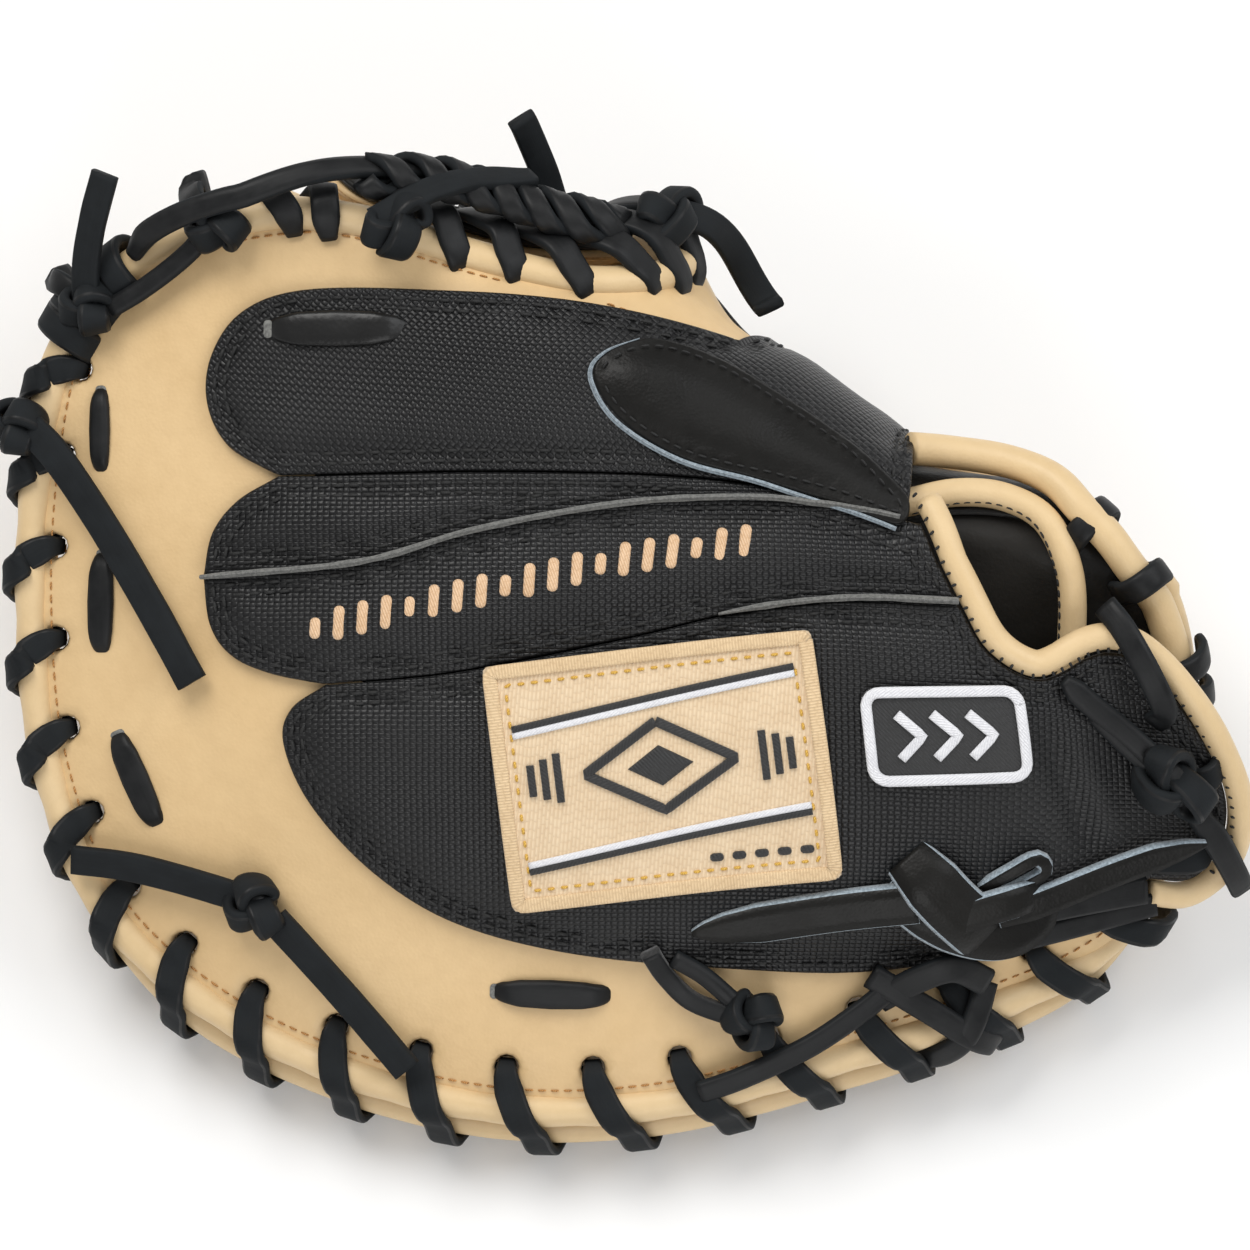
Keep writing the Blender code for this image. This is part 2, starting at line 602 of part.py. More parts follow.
def hinge_thumb(pieces):
    """Hangs the thumb half's pieces on an empty that lies along the fold's hinge line."""
    first, last = (Vector(seat(point)) for point in HINGE)
    empty = bpy.data.objects.new("thumb_hinge", None)
    empty.location = (first + last) / 2
    empty.rotation_mode = "QUATERNION"
    empty.rotation_quaternion = (last - first).to_track_quat("X", "Z")
    HELPERS.objects.link(empty)
    bpy.context.view_layer.update()
    for piece in pieces:
        piece.parent = empty
        piece.matrix_parent_inverse = empty.matrix_world.inverted()


def build():
    finger_half()
    back_panels()
    before = set(MITT.objects)
    thumb_half()
    web()
    hinge_thumb(sorted(set(MITT.objects) - before, key=lambda piece: piece.name))
    wrist()
    patches()
    laces()


clear_scene()
MITT = collection("catchers_mitt")
HELPERS = collection("helpers")
build()
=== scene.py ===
"""The looks of a catcher's mitt over its CAD part: cream and woven black leather, rolled edges and laces.

Pieces are drawn on the flat pattern of the mitt in millimetres (u towards the wrist, s over the fold to the
thumb, n above the back) and folded with the same functions that shape the CAD part.
"""

import json
import math

import bpy
import numpy as np
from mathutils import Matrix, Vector, geometry, noise


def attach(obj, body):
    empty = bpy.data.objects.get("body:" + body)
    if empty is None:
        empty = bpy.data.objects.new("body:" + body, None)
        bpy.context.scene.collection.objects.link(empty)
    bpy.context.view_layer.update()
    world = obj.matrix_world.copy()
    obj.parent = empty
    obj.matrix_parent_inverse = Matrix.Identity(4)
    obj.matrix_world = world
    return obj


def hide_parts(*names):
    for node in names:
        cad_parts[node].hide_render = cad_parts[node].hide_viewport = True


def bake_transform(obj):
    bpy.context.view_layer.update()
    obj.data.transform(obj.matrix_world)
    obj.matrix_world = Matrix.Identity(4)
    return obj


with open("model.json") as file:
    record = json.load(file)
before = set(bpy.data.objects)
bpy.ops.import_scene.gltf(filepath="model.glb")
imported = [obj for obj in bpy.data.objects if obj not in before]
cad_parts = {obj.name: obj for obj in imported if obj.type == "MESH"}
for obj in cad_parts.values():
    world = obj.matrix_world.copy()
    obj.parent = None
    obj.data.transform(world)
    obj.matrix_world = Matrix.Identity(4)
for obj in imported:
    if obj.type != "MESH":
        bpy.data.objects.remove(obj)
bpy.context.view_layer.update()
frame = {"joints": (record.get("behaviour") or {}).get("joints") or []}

# ---- the shape of the CAD part ----
MM = 0.001
REST_TILT = math.radians(15)
SEAT = (0.4, -3.95, 74.1)
FOLD_ANGLE, SPLIT_ANGLE = math.radians(98), math.radians(52)
RIM_DEPTH = 8.5
FOLD_START = [(-150, 132), (-100, 112), (-60, 90), (0, 58), (35, 38), (63, 24), (100, 19), (130, 8), (150, 0)]
FOLD_RADIUS = [(-150, 24), (-60, 24), (-30, 29), (0, 37), (26, 33), (60, 25), (100, 25), (150, 25)]
BOWL_DEPTH, BOWL_CENTRE, BOWL_RADII = 28.0, (-5.0, 32.0), (137.0, 144.0)
HAND_CENTRE = (90, -14)
THUMB_CENTRE, THUMB_TURN = (14, 119), math.radians(-38)
FINGER_RIM = [
    (107, 39), (116, 29), (127, 12), (133, -10), (132, -36), (123, -62), (107, -78), (80, -90),
    (45, -101), (8, -110), (-29, -111), (-66, -102.5), (-100, -86), (-126, -61), (-139, -27),
    (-142.5, 8), (-141, 42), (-135, 71), (-121, 89.5), (-98, 101.5), (-75, 105.5), (-57, 104),
    (-40, 98.5), (-20, 93), (0, 88), (17, 80),
]
CROTCH = [(-20, 93), (-8, 90.5), (3, 92.5), (6, 99), (0, 108)]  # where the visual shell joins its two halves
THUMB_RIM = [
    (20, 92), (8, 104), (-10, 117), (-30, 129), (-50, 139), (-66, 147), (-73, 159), (-64, 172), (-45, 180),
    (-20, 178), (10, 163), (35, 141), (63, 115), (84, 97), (96, 78), (102, 62), (105, 47),
]
WEB = [
    (-6, 95.5), (-25, 99), (-45, 105), (-60, 110), (-66, 118), (-68, 130), (-62, 138), (-50, 134), (-30, 123),
    (-14, 113), (-4, 105), (-1, 98.5),
]
INDEX_EDGE = [
    (24, 72), (-15, 80), (-47, 83), (-74, 83), (-88, 78), (-95, 68), (-96, 57), (-91, 47), (-79, 40),
]
MIDDLE_EDGE = [(-79, 40), (-88.5, 34.5), (-94.5, 27), (-96.5, 17)]
RING_EDGE = [(-96.5, 17), (-95, 6), (-90, -1), (-81, -5), (-68, -7.5)]
LITTLE_EDGE = [
    (-68, -7.5), (-76, -13), (-78, -21), (-72, -35), (-58, -50.5), (-40, -62), (-15, -69), (16, -72.5),
    (54, -74), (86, -68), (106, -57), (117, -50),
]
CUFF_EDGE = [
    (117, -50), (127, -50), (133, -42), (135, -29), (131, -15), (124, -4.5), (116, 2.5), (109.5, 4),
    (103.5, 2.5), (98, -0.5), (91.5, -2.8), (85, -1), (79, 4), (74.5, 13),
]
OPENING_EDGE = [(74.5, 13), (70, 22.5), (66, 29)]
INDEX_SEAM = [(-79, 40), (-29, 41), (17, 39.5), (50, 34.5), (66, 29)]
MIDDLE_SEAM = [(-96.5, 17), (-60, 20.5), (-35, 27.5), (-6, 33), (17, 35), (40, 34.5), (66, 28)]
RING_SEAM = [(-68, -7.5), (-38, -4.5), (0, 3), (25, 9), (50, 12.5), (74.5, 13)]
BAND_INNER = [
    (26, 66), (-15, 71), (-47, 75), (-74, 74), (-84, 66), (-86, 56), (-70, 38), (-84, 27), (-86, 15),
    (-80, 5), (-58, -9), (-68, -20), (-61, -32), (-49, -45), (-32, -56), (-10, -61), (16, -64), (54, -66),
    (84, -61), (104, -50),
]
THUMB_SHELL = [
    (64.5, 43), (65.5, 50), (68, 58), (72, 66), (73, 76), (66, 88), (50, 104), (28, 126), (3, 145),
    (-22, 158), (-40, 161), (-46, 155), (-40, 149), (-26, 143), (-6, 131), (14, 117), (27, 103), (33, 90),
    (30, 79),
]
FINGER_PAD = [
    (-7.5, 63), (-3.5, 68), (6, 69.5), (20, 64.5), (36, 54.5), (48, 46), (58, 37), (63.5, 31.5), (61, 28),
    (47, 33.5), (31, 39), (12.6, 44), (-1.5, 53),
]
LINING = [
    (124, -50), (126, -34), (125, -14), (119, 4), (109, 22), (100, 34), (88, 43), (66, 44), (35, 54),
    (8, 62), (-30, 66), (-66, 58), (-82, 32), (-82, -4), (-70, -38), (-40, -56), (0, -62), (50, -66),
    (86, -64), (110, -60),
]
PATCH = ((8.0, -26.5), (74.0, 56.0), math.radians(7))
BADGE = ((70.0, -16.0), (35.0, 22.0), math.radians(5))


def through(table, u):
    """A smooth curve through a table of (u, value), level beyond its ends."""
    xs, ys = np.array(table, float).T
    slopes = np.gradient(ys, xs)
    i = np.clip(np.searchsorted(xs, u) - 1, 0, len(xs) - 2)
    width = xs[i + 1] - xs[i]
    t = np.clip((u - xs[i]) / width, 0, 1)
    start = (1 + 2 * t) * (1 - t) ** 2 * ys[i] + t * (1 - t) ** 2 * width * slopes[i]
    return start + t * t * (3 - 2 * t) * ys[i + 1] + t * t * (t - 1) * width * slopes[i + 1]


def dome(u, s, centre, radii, power=1.0, turn=0.0):
    """1 at the centre of an ellipse, falling to 0 at its edge."""
    du, ds = u - centre[0], s - centre[1]
    c, k = math.cos(turn), math.sin(turn)
    away = ((du * c + ds * k) / radii[0]) ** 2 + ((ds * c - du * k) / radii[1]) ** 2
    return np.clip(1 - away, 0, 1) ** power


def step(x, low, high):
    t = np.clip((x - low) / (high - low), 0, 1)
    return t * t * (3 - 2 * t)


def split_line(u):
    return through(FOLD_START, u) + through(FOLD_RADIUS, u) * SPLIT_ANGLE


def bowl(u, s):
    """How far the rim is pulled towards the pocket."""
    away = ((u - BOWL_CENTRE[0]) / BOWL_RADII[0]) ** 2 + ((s - BOWL_CENTRE[1]) / BOWL_RADII[1]) ** 2
    over_fold = np.exp(-(((s - split_line(u)) / 45) ** 2))
    return BOWL_DEPTH * np.clip(away, 0, 1.6) ** 1.2 * (1 - 0.75 * over_fold)


def folded(u, s):
    """The back's surface as (u, v, w), with w towards someone who looks at the back."""
    start, radius, drop = through(FOLD_START, u), through(FOLD_RADIUS, u), bowl(u, s)
    angle = np.clip((s - start) / radius, 0, FOLD_ANGLE)
    flat = np.minimum(s - start, 0)
    past = np.maximum(s - start - radius * FOLD_ANGLE, 0)
    v = start + flat + (radius - drop) * np.sin(angle) + past * np.cos(angle)
    w = (radius - drop) * np.cos(angle) - radius - past * np.sin(angle)
    return np.stack(np.broadcast_arrays(u, v, w), axis=-1)


def surface(u, s, n):
    """Folds points of the flat pattern that lie n above the back."""
    u, s, n = np.broadcast_arrays(*(np.asarray(x, float) for x in (u, s, n)))
    normal = np.cross(folded(u + 1, s) - folded(u - 1, s), folded(u, s + 1) - folded(u, s - 1))
    normal /= np.linalg.norm(normal, axis=-1, keepdims=True)
    return folded(u, s) + normal * n[..., None]


def seat(points):
    """Lays folded points on the floor, in metres."""
    u, v, w = np.moveaxis(np.asarray(points, float), -1, 0)
    c, k = math.cos(REST_TILT), math.sin(REST_TILT)
    return (np.stack([u, v * c - w * k, v * k + w * c], axis=-1) + SEAT) * MM


def crotch(u, s):
    """The leather stands higher where the web meets the thumb."""
    return 11 * np.exp(-(((u - 3) / 17) ** 2) - ((s - 109) / 18) ** 2)


def place(u, s, n):
    return seat(surface(u, s, n + crotch(np.asarray(u, float), np.asarray(s, float))))


def back_height(u, s):
    fingers = 6 * dome(u, s, (5, 8), (112, 84))
    hand = 14 * step(u, 5, 95) * dome(u, s, HAND_CENTRE, (400, 62))
    return fingers + hand


def palm_face(u, s):
    fingers = 23 * dome(u, s, (-5, -14), (118, 84), 0.7)
    thumb = 12 * dome(u, s, THUMB_CENTRE, (74, 24), 0.7, THUMB_TURN)
    return -(RIM_DEPTH + fingers + thumb)


def hand_floor(u, s):
    return -(4 + 8 * dome(u, s, (20, -14), (100, 52), 0.8))


# ---- curves ----
def smooth(points, parts=6, closed=False):
    """A Catmull-Rom curve through points."""
    p = np.array(points, float)
    before, after = (p[-1:], p[:2]) if closed else (2 * p[:1] - p[1:2], 2 * p[-1:] - p[-2:-1])
    p = np.vstack([before, p, after])
    t = (np.arange(parts) / parts)[:, None]
    rows = []
    for a, b, c, d in zip(p[:-3], p[1:-2], p[2:-1], p[3:]):
        bend = (2 * a - 5 * b + 4 * c - d) * t**2 + (3 * b - a - 3 * c + d) * t**3
        rows.append(0.5 * (2 * b + (c - a) * t + bend))
    rows = np.vstack(rows)
    return rows if closed else np.vstack([rows, p[-2]])


def spaced(line, distance, closed=False):
    """The line again, with points about that far apart. A closed one doesn't repeat its first point."""
    line = np.asarray(line, float)
    if closed:
        line = np.vstack([line, line[:1]])
    along = np.concatenate([[0], np.cumsum(np.linalg.norm(np.diff(line, axis=0), axis=1))])
    count = max(2, round(along[-1] / distance)) + 1
    at = np.linspace(0, along[-1], count)
    line = np.stack([np.interp(at, along, line[:, k]) for k in range(line.shape[1])], axis=1)
    return line[:-1] if closed else line


def ahead_of(line, closed=False):
    ahead = np.roll(line, -1, axis=0) - np.roll(line, 1, axis=0) if closed else np.gradient(line, axis=0)
    return ahead / np.maximum(np.linalg.norm(ahead, axis=1, keepdims=True), 1e-12)


def inset(line, distance, closed=False):
    """The line moved to its right, which is into the mitt for the rim."""
    ahead = ahead_of(line[:, :2], closed)
    return line[:, :2] + np.stack([ahead[:, 1], -ahead[:, 0]], axis=1) * np.reshape(distance, (-1, 1))


def fair(line, rounds, closed=True):
    """Evens out small bends."""
    for _ in range(rounds):
        mean = (np.roll(line, 1, axis=0) + np.roll(line, -1, axis=0)) / 2
        moved = line * 0.5 + mean * 0.5
        if not closed:
            moved[0], moved[-1] = line[0], line[-1]
        line = moved
    return line


def distance_to(points, line):
    """The distance of each point from a closed polyline."""
    a, b = line, np.roll(line, -1, axis=0)
    d = b - a
    length = np.maximum((d**2).sum(axis=1), 1e-12)
    best = np.full(len(points), 1e9)
    for first in range(0, len(points), 4000):
        p = points[first : first + 4000, None, :]
        t = np.clip(((p - a) * d).sum(axis=2) / length, 0, 1)[..., None]
        best[first : first + 4000] = np.linalg.norm(p - a - d * t, axis=2).min(axis=1)
    return best


def inside(points, line):
    a, b = line, np.roll(line, -1, axis=0)
    x, y = points[:, :1], points[:, 1:]
    crosses = (a[:, 1] > y) != (b[:, 1] > y)
    rise = np.where(b[:, 1] == a[:, 1], 1e-12, b[:, 1] - a[:, 1])
    at = a[:, 0] + (y - a[:, 1]) * (b[:, 0] - a[:, 0]) / rise
    return ((crosses & (x < at)).sum(axis=1) % 2) == 1


def area(line):
    """The area inside a closed line: more than 0 when it runs anticlockwise."""
    u, s = np.asarray(line, float).T
    return 0.5 * np.sum(u * np.roll(s, -1) - np.roll(u, -1) * s)


def drawn_in(line, depth):
    """A closed line moved inwards, whichever way it runs."""
    return inset(line, -depth if area(line) > 0 else depth, True)


def pieces_of(line, where_it_breaks, shortest):
    """The stretches of a line between its breaks, without the very short ones."""
    return [part for part in np.split(line, np.flatnonzero(where_it_breaks) + 1) if len(part) > shortest]


def jumps(line):
    return np.linalg.norm(np.diff(line, axis=0), axis=1) > 2


RIM = fair(spaced(smooth(FINGER_RIM[:-3] + CROTCH + THUMB_RIM[2:], 8, True), 1.0, True), 12)


def nearest(line, point):
    return int(np.argmin(np.linalg.norm(line - point, axis=1)))


# ---- materials ----
class Nodes:
    """A short way to wire a material."""

    def __init__(self, name):
        self.made = bpy.data.materials.new(name)
        self.made.use_nodes = True
        self.tree = self.made.node_tree
        self.shader = self.tree.nodes["Principled BSDF"]
        self.made.diffuse_color = (0.5, 0.5, 0.5, 1)

    def add(self, kind, inputs=None, **settings):
        made = self.tree.nodes.new(kind)
        for key, value in settings.items():
            setattr(made, key, value)
        for key, value in (inputs or {}).items():
            socket = made.inputs[key]
            if isinstance(value, bpy.types.NodeSocket):
                self.tree.links.new(value, socket)
            else:
                socket.default_value = value
        return made

    def sum(self, operation, a, b=0.0):
        made = self.add("ShaderNodeMath", {0: a, 1: b}, operation=operation)
        return made.outputs[0]

    def noise(self, scale, detail=3.0, where=None, rough=0.55):
        inputs = {"Scale": scale, "Detail": detail, "Roughness": rough}
        inputs["Vector"] = where or self.object_place()
        return self.add("ShaderNodeTexNoise", inputs).outputs["Fac"]

    def cells(self, scale):
        inputs = {"Scale": scale, "Vector": self.object_place()}
        return self.add("ShaderNodeTexVoronoi", inputs).outputs["Distance"]

    def object_place(self):
        return self.add("ShaderNodeTexCoord").outputs["Object"]

    def pattern_place(self):
        return self.add("ShaderNodeUVMap", uv_map="UVMap").outputs["UV"]

    def ramp(self, value, stops):
        made = self.add("ShaderNodeValToRGB", {"Fac": value})
        ramp = made.color_ramp
        while len(ramp.elements) < len(stops):
            ramp.elements.new(0.5)
        for element, (at, colour) in zip(ramp.elements, stops):
            element.position = at
            element.color = (*colour, 1)
        return made.outputs["Color"]

    def mix(self, share, a, b, blend="MIX"):
        made = self.add("ShaderNodeMix", {"Factor": share}, data_type="RGBA", blend_type=blend)
        sockets = [socket for socket in made.inputs if socket.type == "RGBA"]
        for socket, value in zip(sockets, (a, b)):
            if isinstance(value, bpy.types.NodeSocket):
                self.tree.links.new(value, socket)
            else:
                socket.default_value = (*value, 1)
        return next(socket for socket in made.outputs if socket.type == "RGBA")

    def levels(self, value, low, high, from_low=0.0, from_high=1.0):
        inputs = {"Value": value, "From Min": from_low, "From Max": from_high, "To Min": low, "To Max": high}
        return self.add("ShaderNodeMapRange", inputs).outputs[0]

    def bump(self, height, strength, distance, below=None):
        inputs = {"Height": height, "Strength": strength, "Distance": distance}
        if below:
            inputs["Normal"] = below
        return self.add("ShaderNodeBump", inputs).outputs["Normal"]

    def set(self, name, value):
        socket = self.shader.inputs[name]
        if isinstance(value, bpy.types.NodeSocket):
            self.tree.links.new(value, socket)
        else:
            socket.default_value = value


def leather(name, light, dark, rough, grain=0.00012, grain_size=1100, crease=0.0004, gloss=0.42):
    """Smooth leather: mottled colour, pores and soft creases."""
    m = Nodes(name)
    broad = m.noise(22, 4)
    fine = m.noise(240, 5)
    colour = m.ramp(broad, [(0.3, dark), (0.62, light)])
    spots = m.ramp(fine, [(0.35, (0.93, 0.915, 0.9)), (0.6, (1.0, 1.0, 1.0))])
    colour = m.mix(0.5, colour, spots, "MULTIPLY")
    m.set("Base Color", colour)
    m.set("Roughness", m.levels(m.noise(90, 4), rough - 0.07, rough + 0.1, 0.3, 0.7))
    creases = m.bump(m.noise(70, 6, rough=0.62), 0.55, crease)
    pores = m.bump(m.cells(grain_size), 0.35, grain, creases)
    m.set("Normal", pores)
    m.set("Specular IOR Level", gloss)
    return m.made


STRAND = 0.00105  # the pitch of the woven shell's strands, in metres


def weave(name, turn):
    """A woven-look shell: short strands that pass over and under each other."""
    m = Nodes(name)
    turned = m.add("ShaderNodeMapping", {"Vector": m.pattern_place(), "Rotation": (0, 0, turn)}).outputs[0]
    wander = m.add("ShaderNodeTexNoise", {"Vector": turned, "Scale": 90.0, "Detail": 2.0}).outputs["Color"]
    shift = {0: wander, 1: (0.0006, 0.0006, 0)}
    offset = m.add("ShaderNodeVectorMath", shift, operation="MULTIPLY").outputs[0]
    at = m.add("ShaderNodeVectorMath", {0: turned, 1: offset}, operation="ADD").outputs[0]
    parts = m.add("ShaderNodeSeparateXYZ", {"Vector": at})
    x = m.sum("DIVIDE", parts.outputs["X"], STRAND * 1.35)
    y = m.sum("DIVIDE", parts.outputs["Y"], STRAND)
    across = m.sum("ABSOLUTE", m.sum("SINE", m.sum("MULTIPLY", x, math.pi)))
    along = m.sum("ABSOLUTE", m.sum("SINE", m.sum("MULTIPLY", y, math.pi)))
    odd = m.sum("FLOORED_MODULO", m.sum("ADD", m.sum("FLOOR", x), m.sum("FLOOR", y)), 2.0)
    first = m.sum("MULTIPLY", m.sum("POWER", across, 0.6), m.sum("POWER", along, 0.35))
    second = m.sum("MULTIPLY", m.sum("POWER", along, 0.6), m.sum("POWER", across, 0.35))
    lower = m.sum("MULTIPLY", second, 0.55)
    upper = m.sum("MULTIPLY", first, m.sum("SUBTRACT", 1.0, odd))
    height = m.sum("ADD", upper, m.sum("MULTIPLY", lower, odd))
    wear = m.noise(35, 4)
    # painted shade and highlight: the hollows and lower strands get the dark colour and the raised strands
    # the light one, following the weave's height; the wear noise varies both at random
    low = m.ramp(wear, [(0.35, (0.003, 0.003, 0.0035)), (0.7, (0.005, 0.005, 0.0055))])
    high = m.ramp(wear, [(0.35, (0.012, 0.012, 0.0125)), (0.7, (0.023, 0.023, 0.0235))])
    m.set("Base Color", m.mix(m.levels(height, 0, 1, 0.15, 0.85), low, high))
    m.set("Roughness", m.levels(m.noise(60, 3), 0.3, 0.42, 0.3, 0.7))
    m.set("Specular IOR Level", 0.34)
    broad = m.bump(m.noise(45, 3), 0.4, 0.0008)
    m.set("Normal", m.bump(height, 1.0, 0.0003, broad))
    return m.made


def lace_leather(name, light, dark, rough):
    """Rawhide lace: long fibres, scuffs and a faint nap."""
    m = Nodes(name)
    where = m.add("ShaderNodeMapping", {"Vector": m.pattern_place(), "Scale": (90, 1500, 1)}).outputs[0]
    fibres = m.noise(1.0, 4, where)
    scuffs = m.noise(160, 4)
    colour = m.ramp(scuffs, [(0.36, dark), (0.66, light)])
    m.set("Base Color", m.mix(0.25, colour, m.ramp(fibres, [(0.3, dark), (0.7, light)])))
    m.set("Roughness", m.levels(scuffs, rough - 0.08, rough + 0.12, 0.3, 0.7))
    m.set("Specular IOR Level", 0.24)
    rough_bump = m.bump(m.noise(420, 4), 0.4, 0.0002)
    m.set("Normal", m.bump(fibres, 0.3, 0.00012, rough_bump))
    return m.made


def thread(name, light, dark):
    """Twisted thread: fine slanting plies."""
    m = Nodes(name)
    turned = m.add("ShaderNodeMapping", {"Vector": m.object_place(), "Rotation": (0.4, 0.3, 0.8)}).outputs[0]
    plies = m.add("ShaderNodeTexWave", {"Vector": turned, "Scale": 900.0, "Distortion": 1.5}).outputs["Fac"]
    # painted shade in the grooves between the plies and painted highlight on their crests: the colour follows
    # the plies' height
    m.set("Base Color", m.ramp(plies, [(0.1, dark), (0.8, light)]))
    m.set("Roughness", m.levels(plies, 0.6, 0.75))
    m.set("Normal", m.bump(plies, 0.4, 0.0001))
    m.set("Sheen Weight", 0.04)
    return m.made


def raw_edge(name, light, dark):
    """A cut edge of leather: loose fibres."""
    m = Nodes(name)
    fibres = m.noise(1400, 5)
    m.set("Base Color", m.ramp(fibres, [(0.35, dark), (0.65, light)]))
    m.set("Roughness", m.levels(fibres, 0.75, 0.95))
    m.set("Normal", m.bump(fibres, 0.6, 0.0003))
    m.set("Sheen Weight", 0.25)
    return m.made


def satin(name, light, dark, turn=0.5, pitch=0.0008):
    """Embroidery: close rows of shining thread."""
    m = Nodes(name)
    at = m.add("ShaderNodeMapping", {"Vector": m.pattern_place(), "Rotation": (0, 0, turn)}).outputs[0]
    parts = m.add("ShaderNodeSeparateXYZ", {"Vector": at})
    stitch = 0.0042
    row = m.sum("MULTIPLY", parts.outputs["Y"], 2 * math.pi / pitch)
    brick = m.sum("FLOOR", m.sum("DIVIDE", parts.outputs["Y"], pitch))
    start = m.add("ShaderNodeTexWhiteNoise", {"W": brick}, noise_dimensions="1D").outputs["Value"]
    shift = m.sum("MULTIPLY", start, stitch)
    long = m.sum("MULTIPLY", m.sum("ADD", parts.outputs["X"], shift), 2 * math.pi / stitch)
    ends = m.sum("POWER", m.sum("ABSOLUTE", m.sum("SINE", long)), 0.3)
    height = m.sum("MULTIPLY", m.levels(m.sum("SINE", row), 0.25, 1.0, -1, 1), ends)
    spread = m.noise(180, 3)
    # painted shade in the grooves between rows and at the stitch ends, and painted highlight on the stitches'
    # tops: the colour follows their height
    stitch_shade_and_highlight = m.mix(m.levels(height, 0, 1, 0.1, 0.9), dark, light)
    m.set("Base Color", m.mix(0.35, stitch_shade_and_highlight, m.ramp(spread, [(0.3, dark), (0.7, light)])))
    m.set("Roughness", m.levels(spread, 0.45, 0.65))
    m.set("Sheen Weight", 0.3)
    m.set("Normal", m.bump(height, 0.7, 0.00025))
    return m.made


def felt_cloth(name, light, dark):
    m = Nodes(name)
    fuzz = m.noise(900, 6)
    m.set("Base Color", m.ramp(m.noise(40, 4), [(0.3, dark), (0.7, light)]))
    m.set("Roughness", m.levels(fuzz, 0.85, 1.0))
    m.set("Sheen Weight", 0.4)
    m.set("Normal", m.bump(fuzz, 0.7, 0.0006))
    return m.made


CREAM = leather("cream_leather", (0.745, 0.53, 0.28), (0.70, 0.485, 0.245), 0.48)
CREAM_ROLL = leather(
    "cream_rolled_leather", (0.75, 0.56, 0.32), (0.70, 0.51, 0.275), 0.44, grain=0.00009, grain_size=1400,
    crease=0.0003,
)
HIDE = leather(
    "smooth_black_leather", (0.011, 0.0105, 0.0095), (0.006, 0.0058, 0.0054), 0.38, grain=0.00014,
    grain_size=1300, gloss=0.19,
)
SLICK = leather(
    "padding_lace_leather", (0.014, 0.014, 0.014), (0.008, 0.008, 0.008), 0.30, grain=0.0001, grain_size=900,
    crease=0.0003, gloss=0.35,
)
LINING_HIDE = leather(
    "lining_leather", (0.020, 0.018, 0.015), (0.011, 0.010, 0.009), 0.5, grain=0.0001, grain_size=1200,
    crease=0.0006, gloss=0.25,
)
WEAVE = weave("woven_shell", 0.0)
WEAVE_SLANT = weave("woven_shell_slanted", 0.72)
LACE = lace_leather("lace", (0.014, 0.0145, 0.0152), (0.0065, 0.007, 0.0076), 0.46)
SUEDE = lace_leather("lace_suede_side", (0.013, 0.0155, 0.0175), (0.006, 0.0075, 0.0088), 0.74)
BLACK_THREAD = thread("black_thread", (0.016, 0.016, 0.016), (0.006, 0.006, 0.006))
GOLD_THREAD = thread("gold_thread", (0.58, 0.29, 0.085), (0.28, 0.12, 0.03))
PATCH_THREAD = thread("patch_border_thread", (0.80, 0.50, 0.10), (0.50, 0.27, 0.03))
GREY_EDGE = raw_edge("grey_raw_edge", (0.22, 0.22, 0.205), (0.10, 0.10, 0.095))
PALE_EDGE = raw_edge("pale_raw_edge", (0.42, 0.50, 0.56), (0.20, 0.25, 0.29))
CREAM_EDGE = raw_edge("cream_raw_edge", (0.66, 0.42, 0.20), (0.45, 0.26, 0.11))
DARK_EDGE = raw_edge("dark_raw_edge", (0.035, 0.035, 0.036), (0.012, 0.012, 0.012))
BORDER_SATIN = satin("patch_border", (0.84, 0.63, 0.38), (0.60, 0.41, 0.22), 1.571, 0.0007)
PATCH_CLOTH = satin("patch_cloth", (0.86, 0.68, 0.46), (0.66, 0.47, 0.28), 1.66, 0.0009)
WHITE_SATIN = satin("white_embroidery", (0.90, 0.90, 0.92), (0.66, 0.66, 0.70), 0.6, 0.0006)
BLACK_SATIN = satin("black_embroidery", (0.020, 0.020, 0.021), (0.008, 0.008, 0.008), 0.8, 0.0007)
CREAM_SATIN = satin("cream_embroidery", (0.88, 0.62, 0.40), (0.60, 0.36, 0.18), 1.2, 0.0006)
FELT = felt_cloth("wool_felt", (0.56, 0.54, 0.49), (0.42, 0.40, 0.36))


# ---- meshes ----
def piece(name, verts, faces, materials, slots, uv, body="fingers", slot=None):
    """A mesh piece that rides on a body. With body "both" it rides on neither, and its place is baked into
    the mesh.
    """
    mesh = bpy.data.meshes.new(name)
    mesh.from_pydata(np.asarray(verts, float).tolist(), [], [list(map(int, f)) for f in faces])
    for material in materials:
        mesh.materials.append(material)
    mesh.polygons.foreach_set("material_index", np.asarray(slots, np.int32))
    layer = mesh.uv_layers.new(name="UVMap")
    index = np.zeros(len(mesh.loops), np.int32)
    mesh.loops.foreach_get("vertex_index", index)
    layer.data.foreach_set("uv", np.asarray(uv, np.float32)[index].ravel())
    mesh.polygons.foreach_set("use_smooth", np.full(len(mesh.polygons), True))
    mesh.validate(verbose=False)
    mesh.update()
    obj = bpy.data.objects.new(name, mesh)
    bpy.context.scene.collection.objects.link(obj)
    if body == "both":
        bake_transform(obj)
    else:
        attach(obj, body)
    return obj


def bend_points():
    """Where the fold starts and stops turning with the thumb, across the hinge and down through the fold."""
    joint = frame["joints"][0]
    axis, hinge = Vector(joint["axis"]).normalized(), Vector(joint["pos_m"])
    down = Vector((0, math.sin(REST_TILT), -math.cos(REST_TILT)))
    down = (down - axis * down.dot(axis)).normalized()
    outward = axis.cross(down)
    outward *= 1 if outward.y > 0 else -1
    slope = math.radians(50)
    along = outward * math.cos(slope) + down * math.sin(slope)
    return hinge - along * 0.003, hinge + along * 0.006


BEND = bend_points()


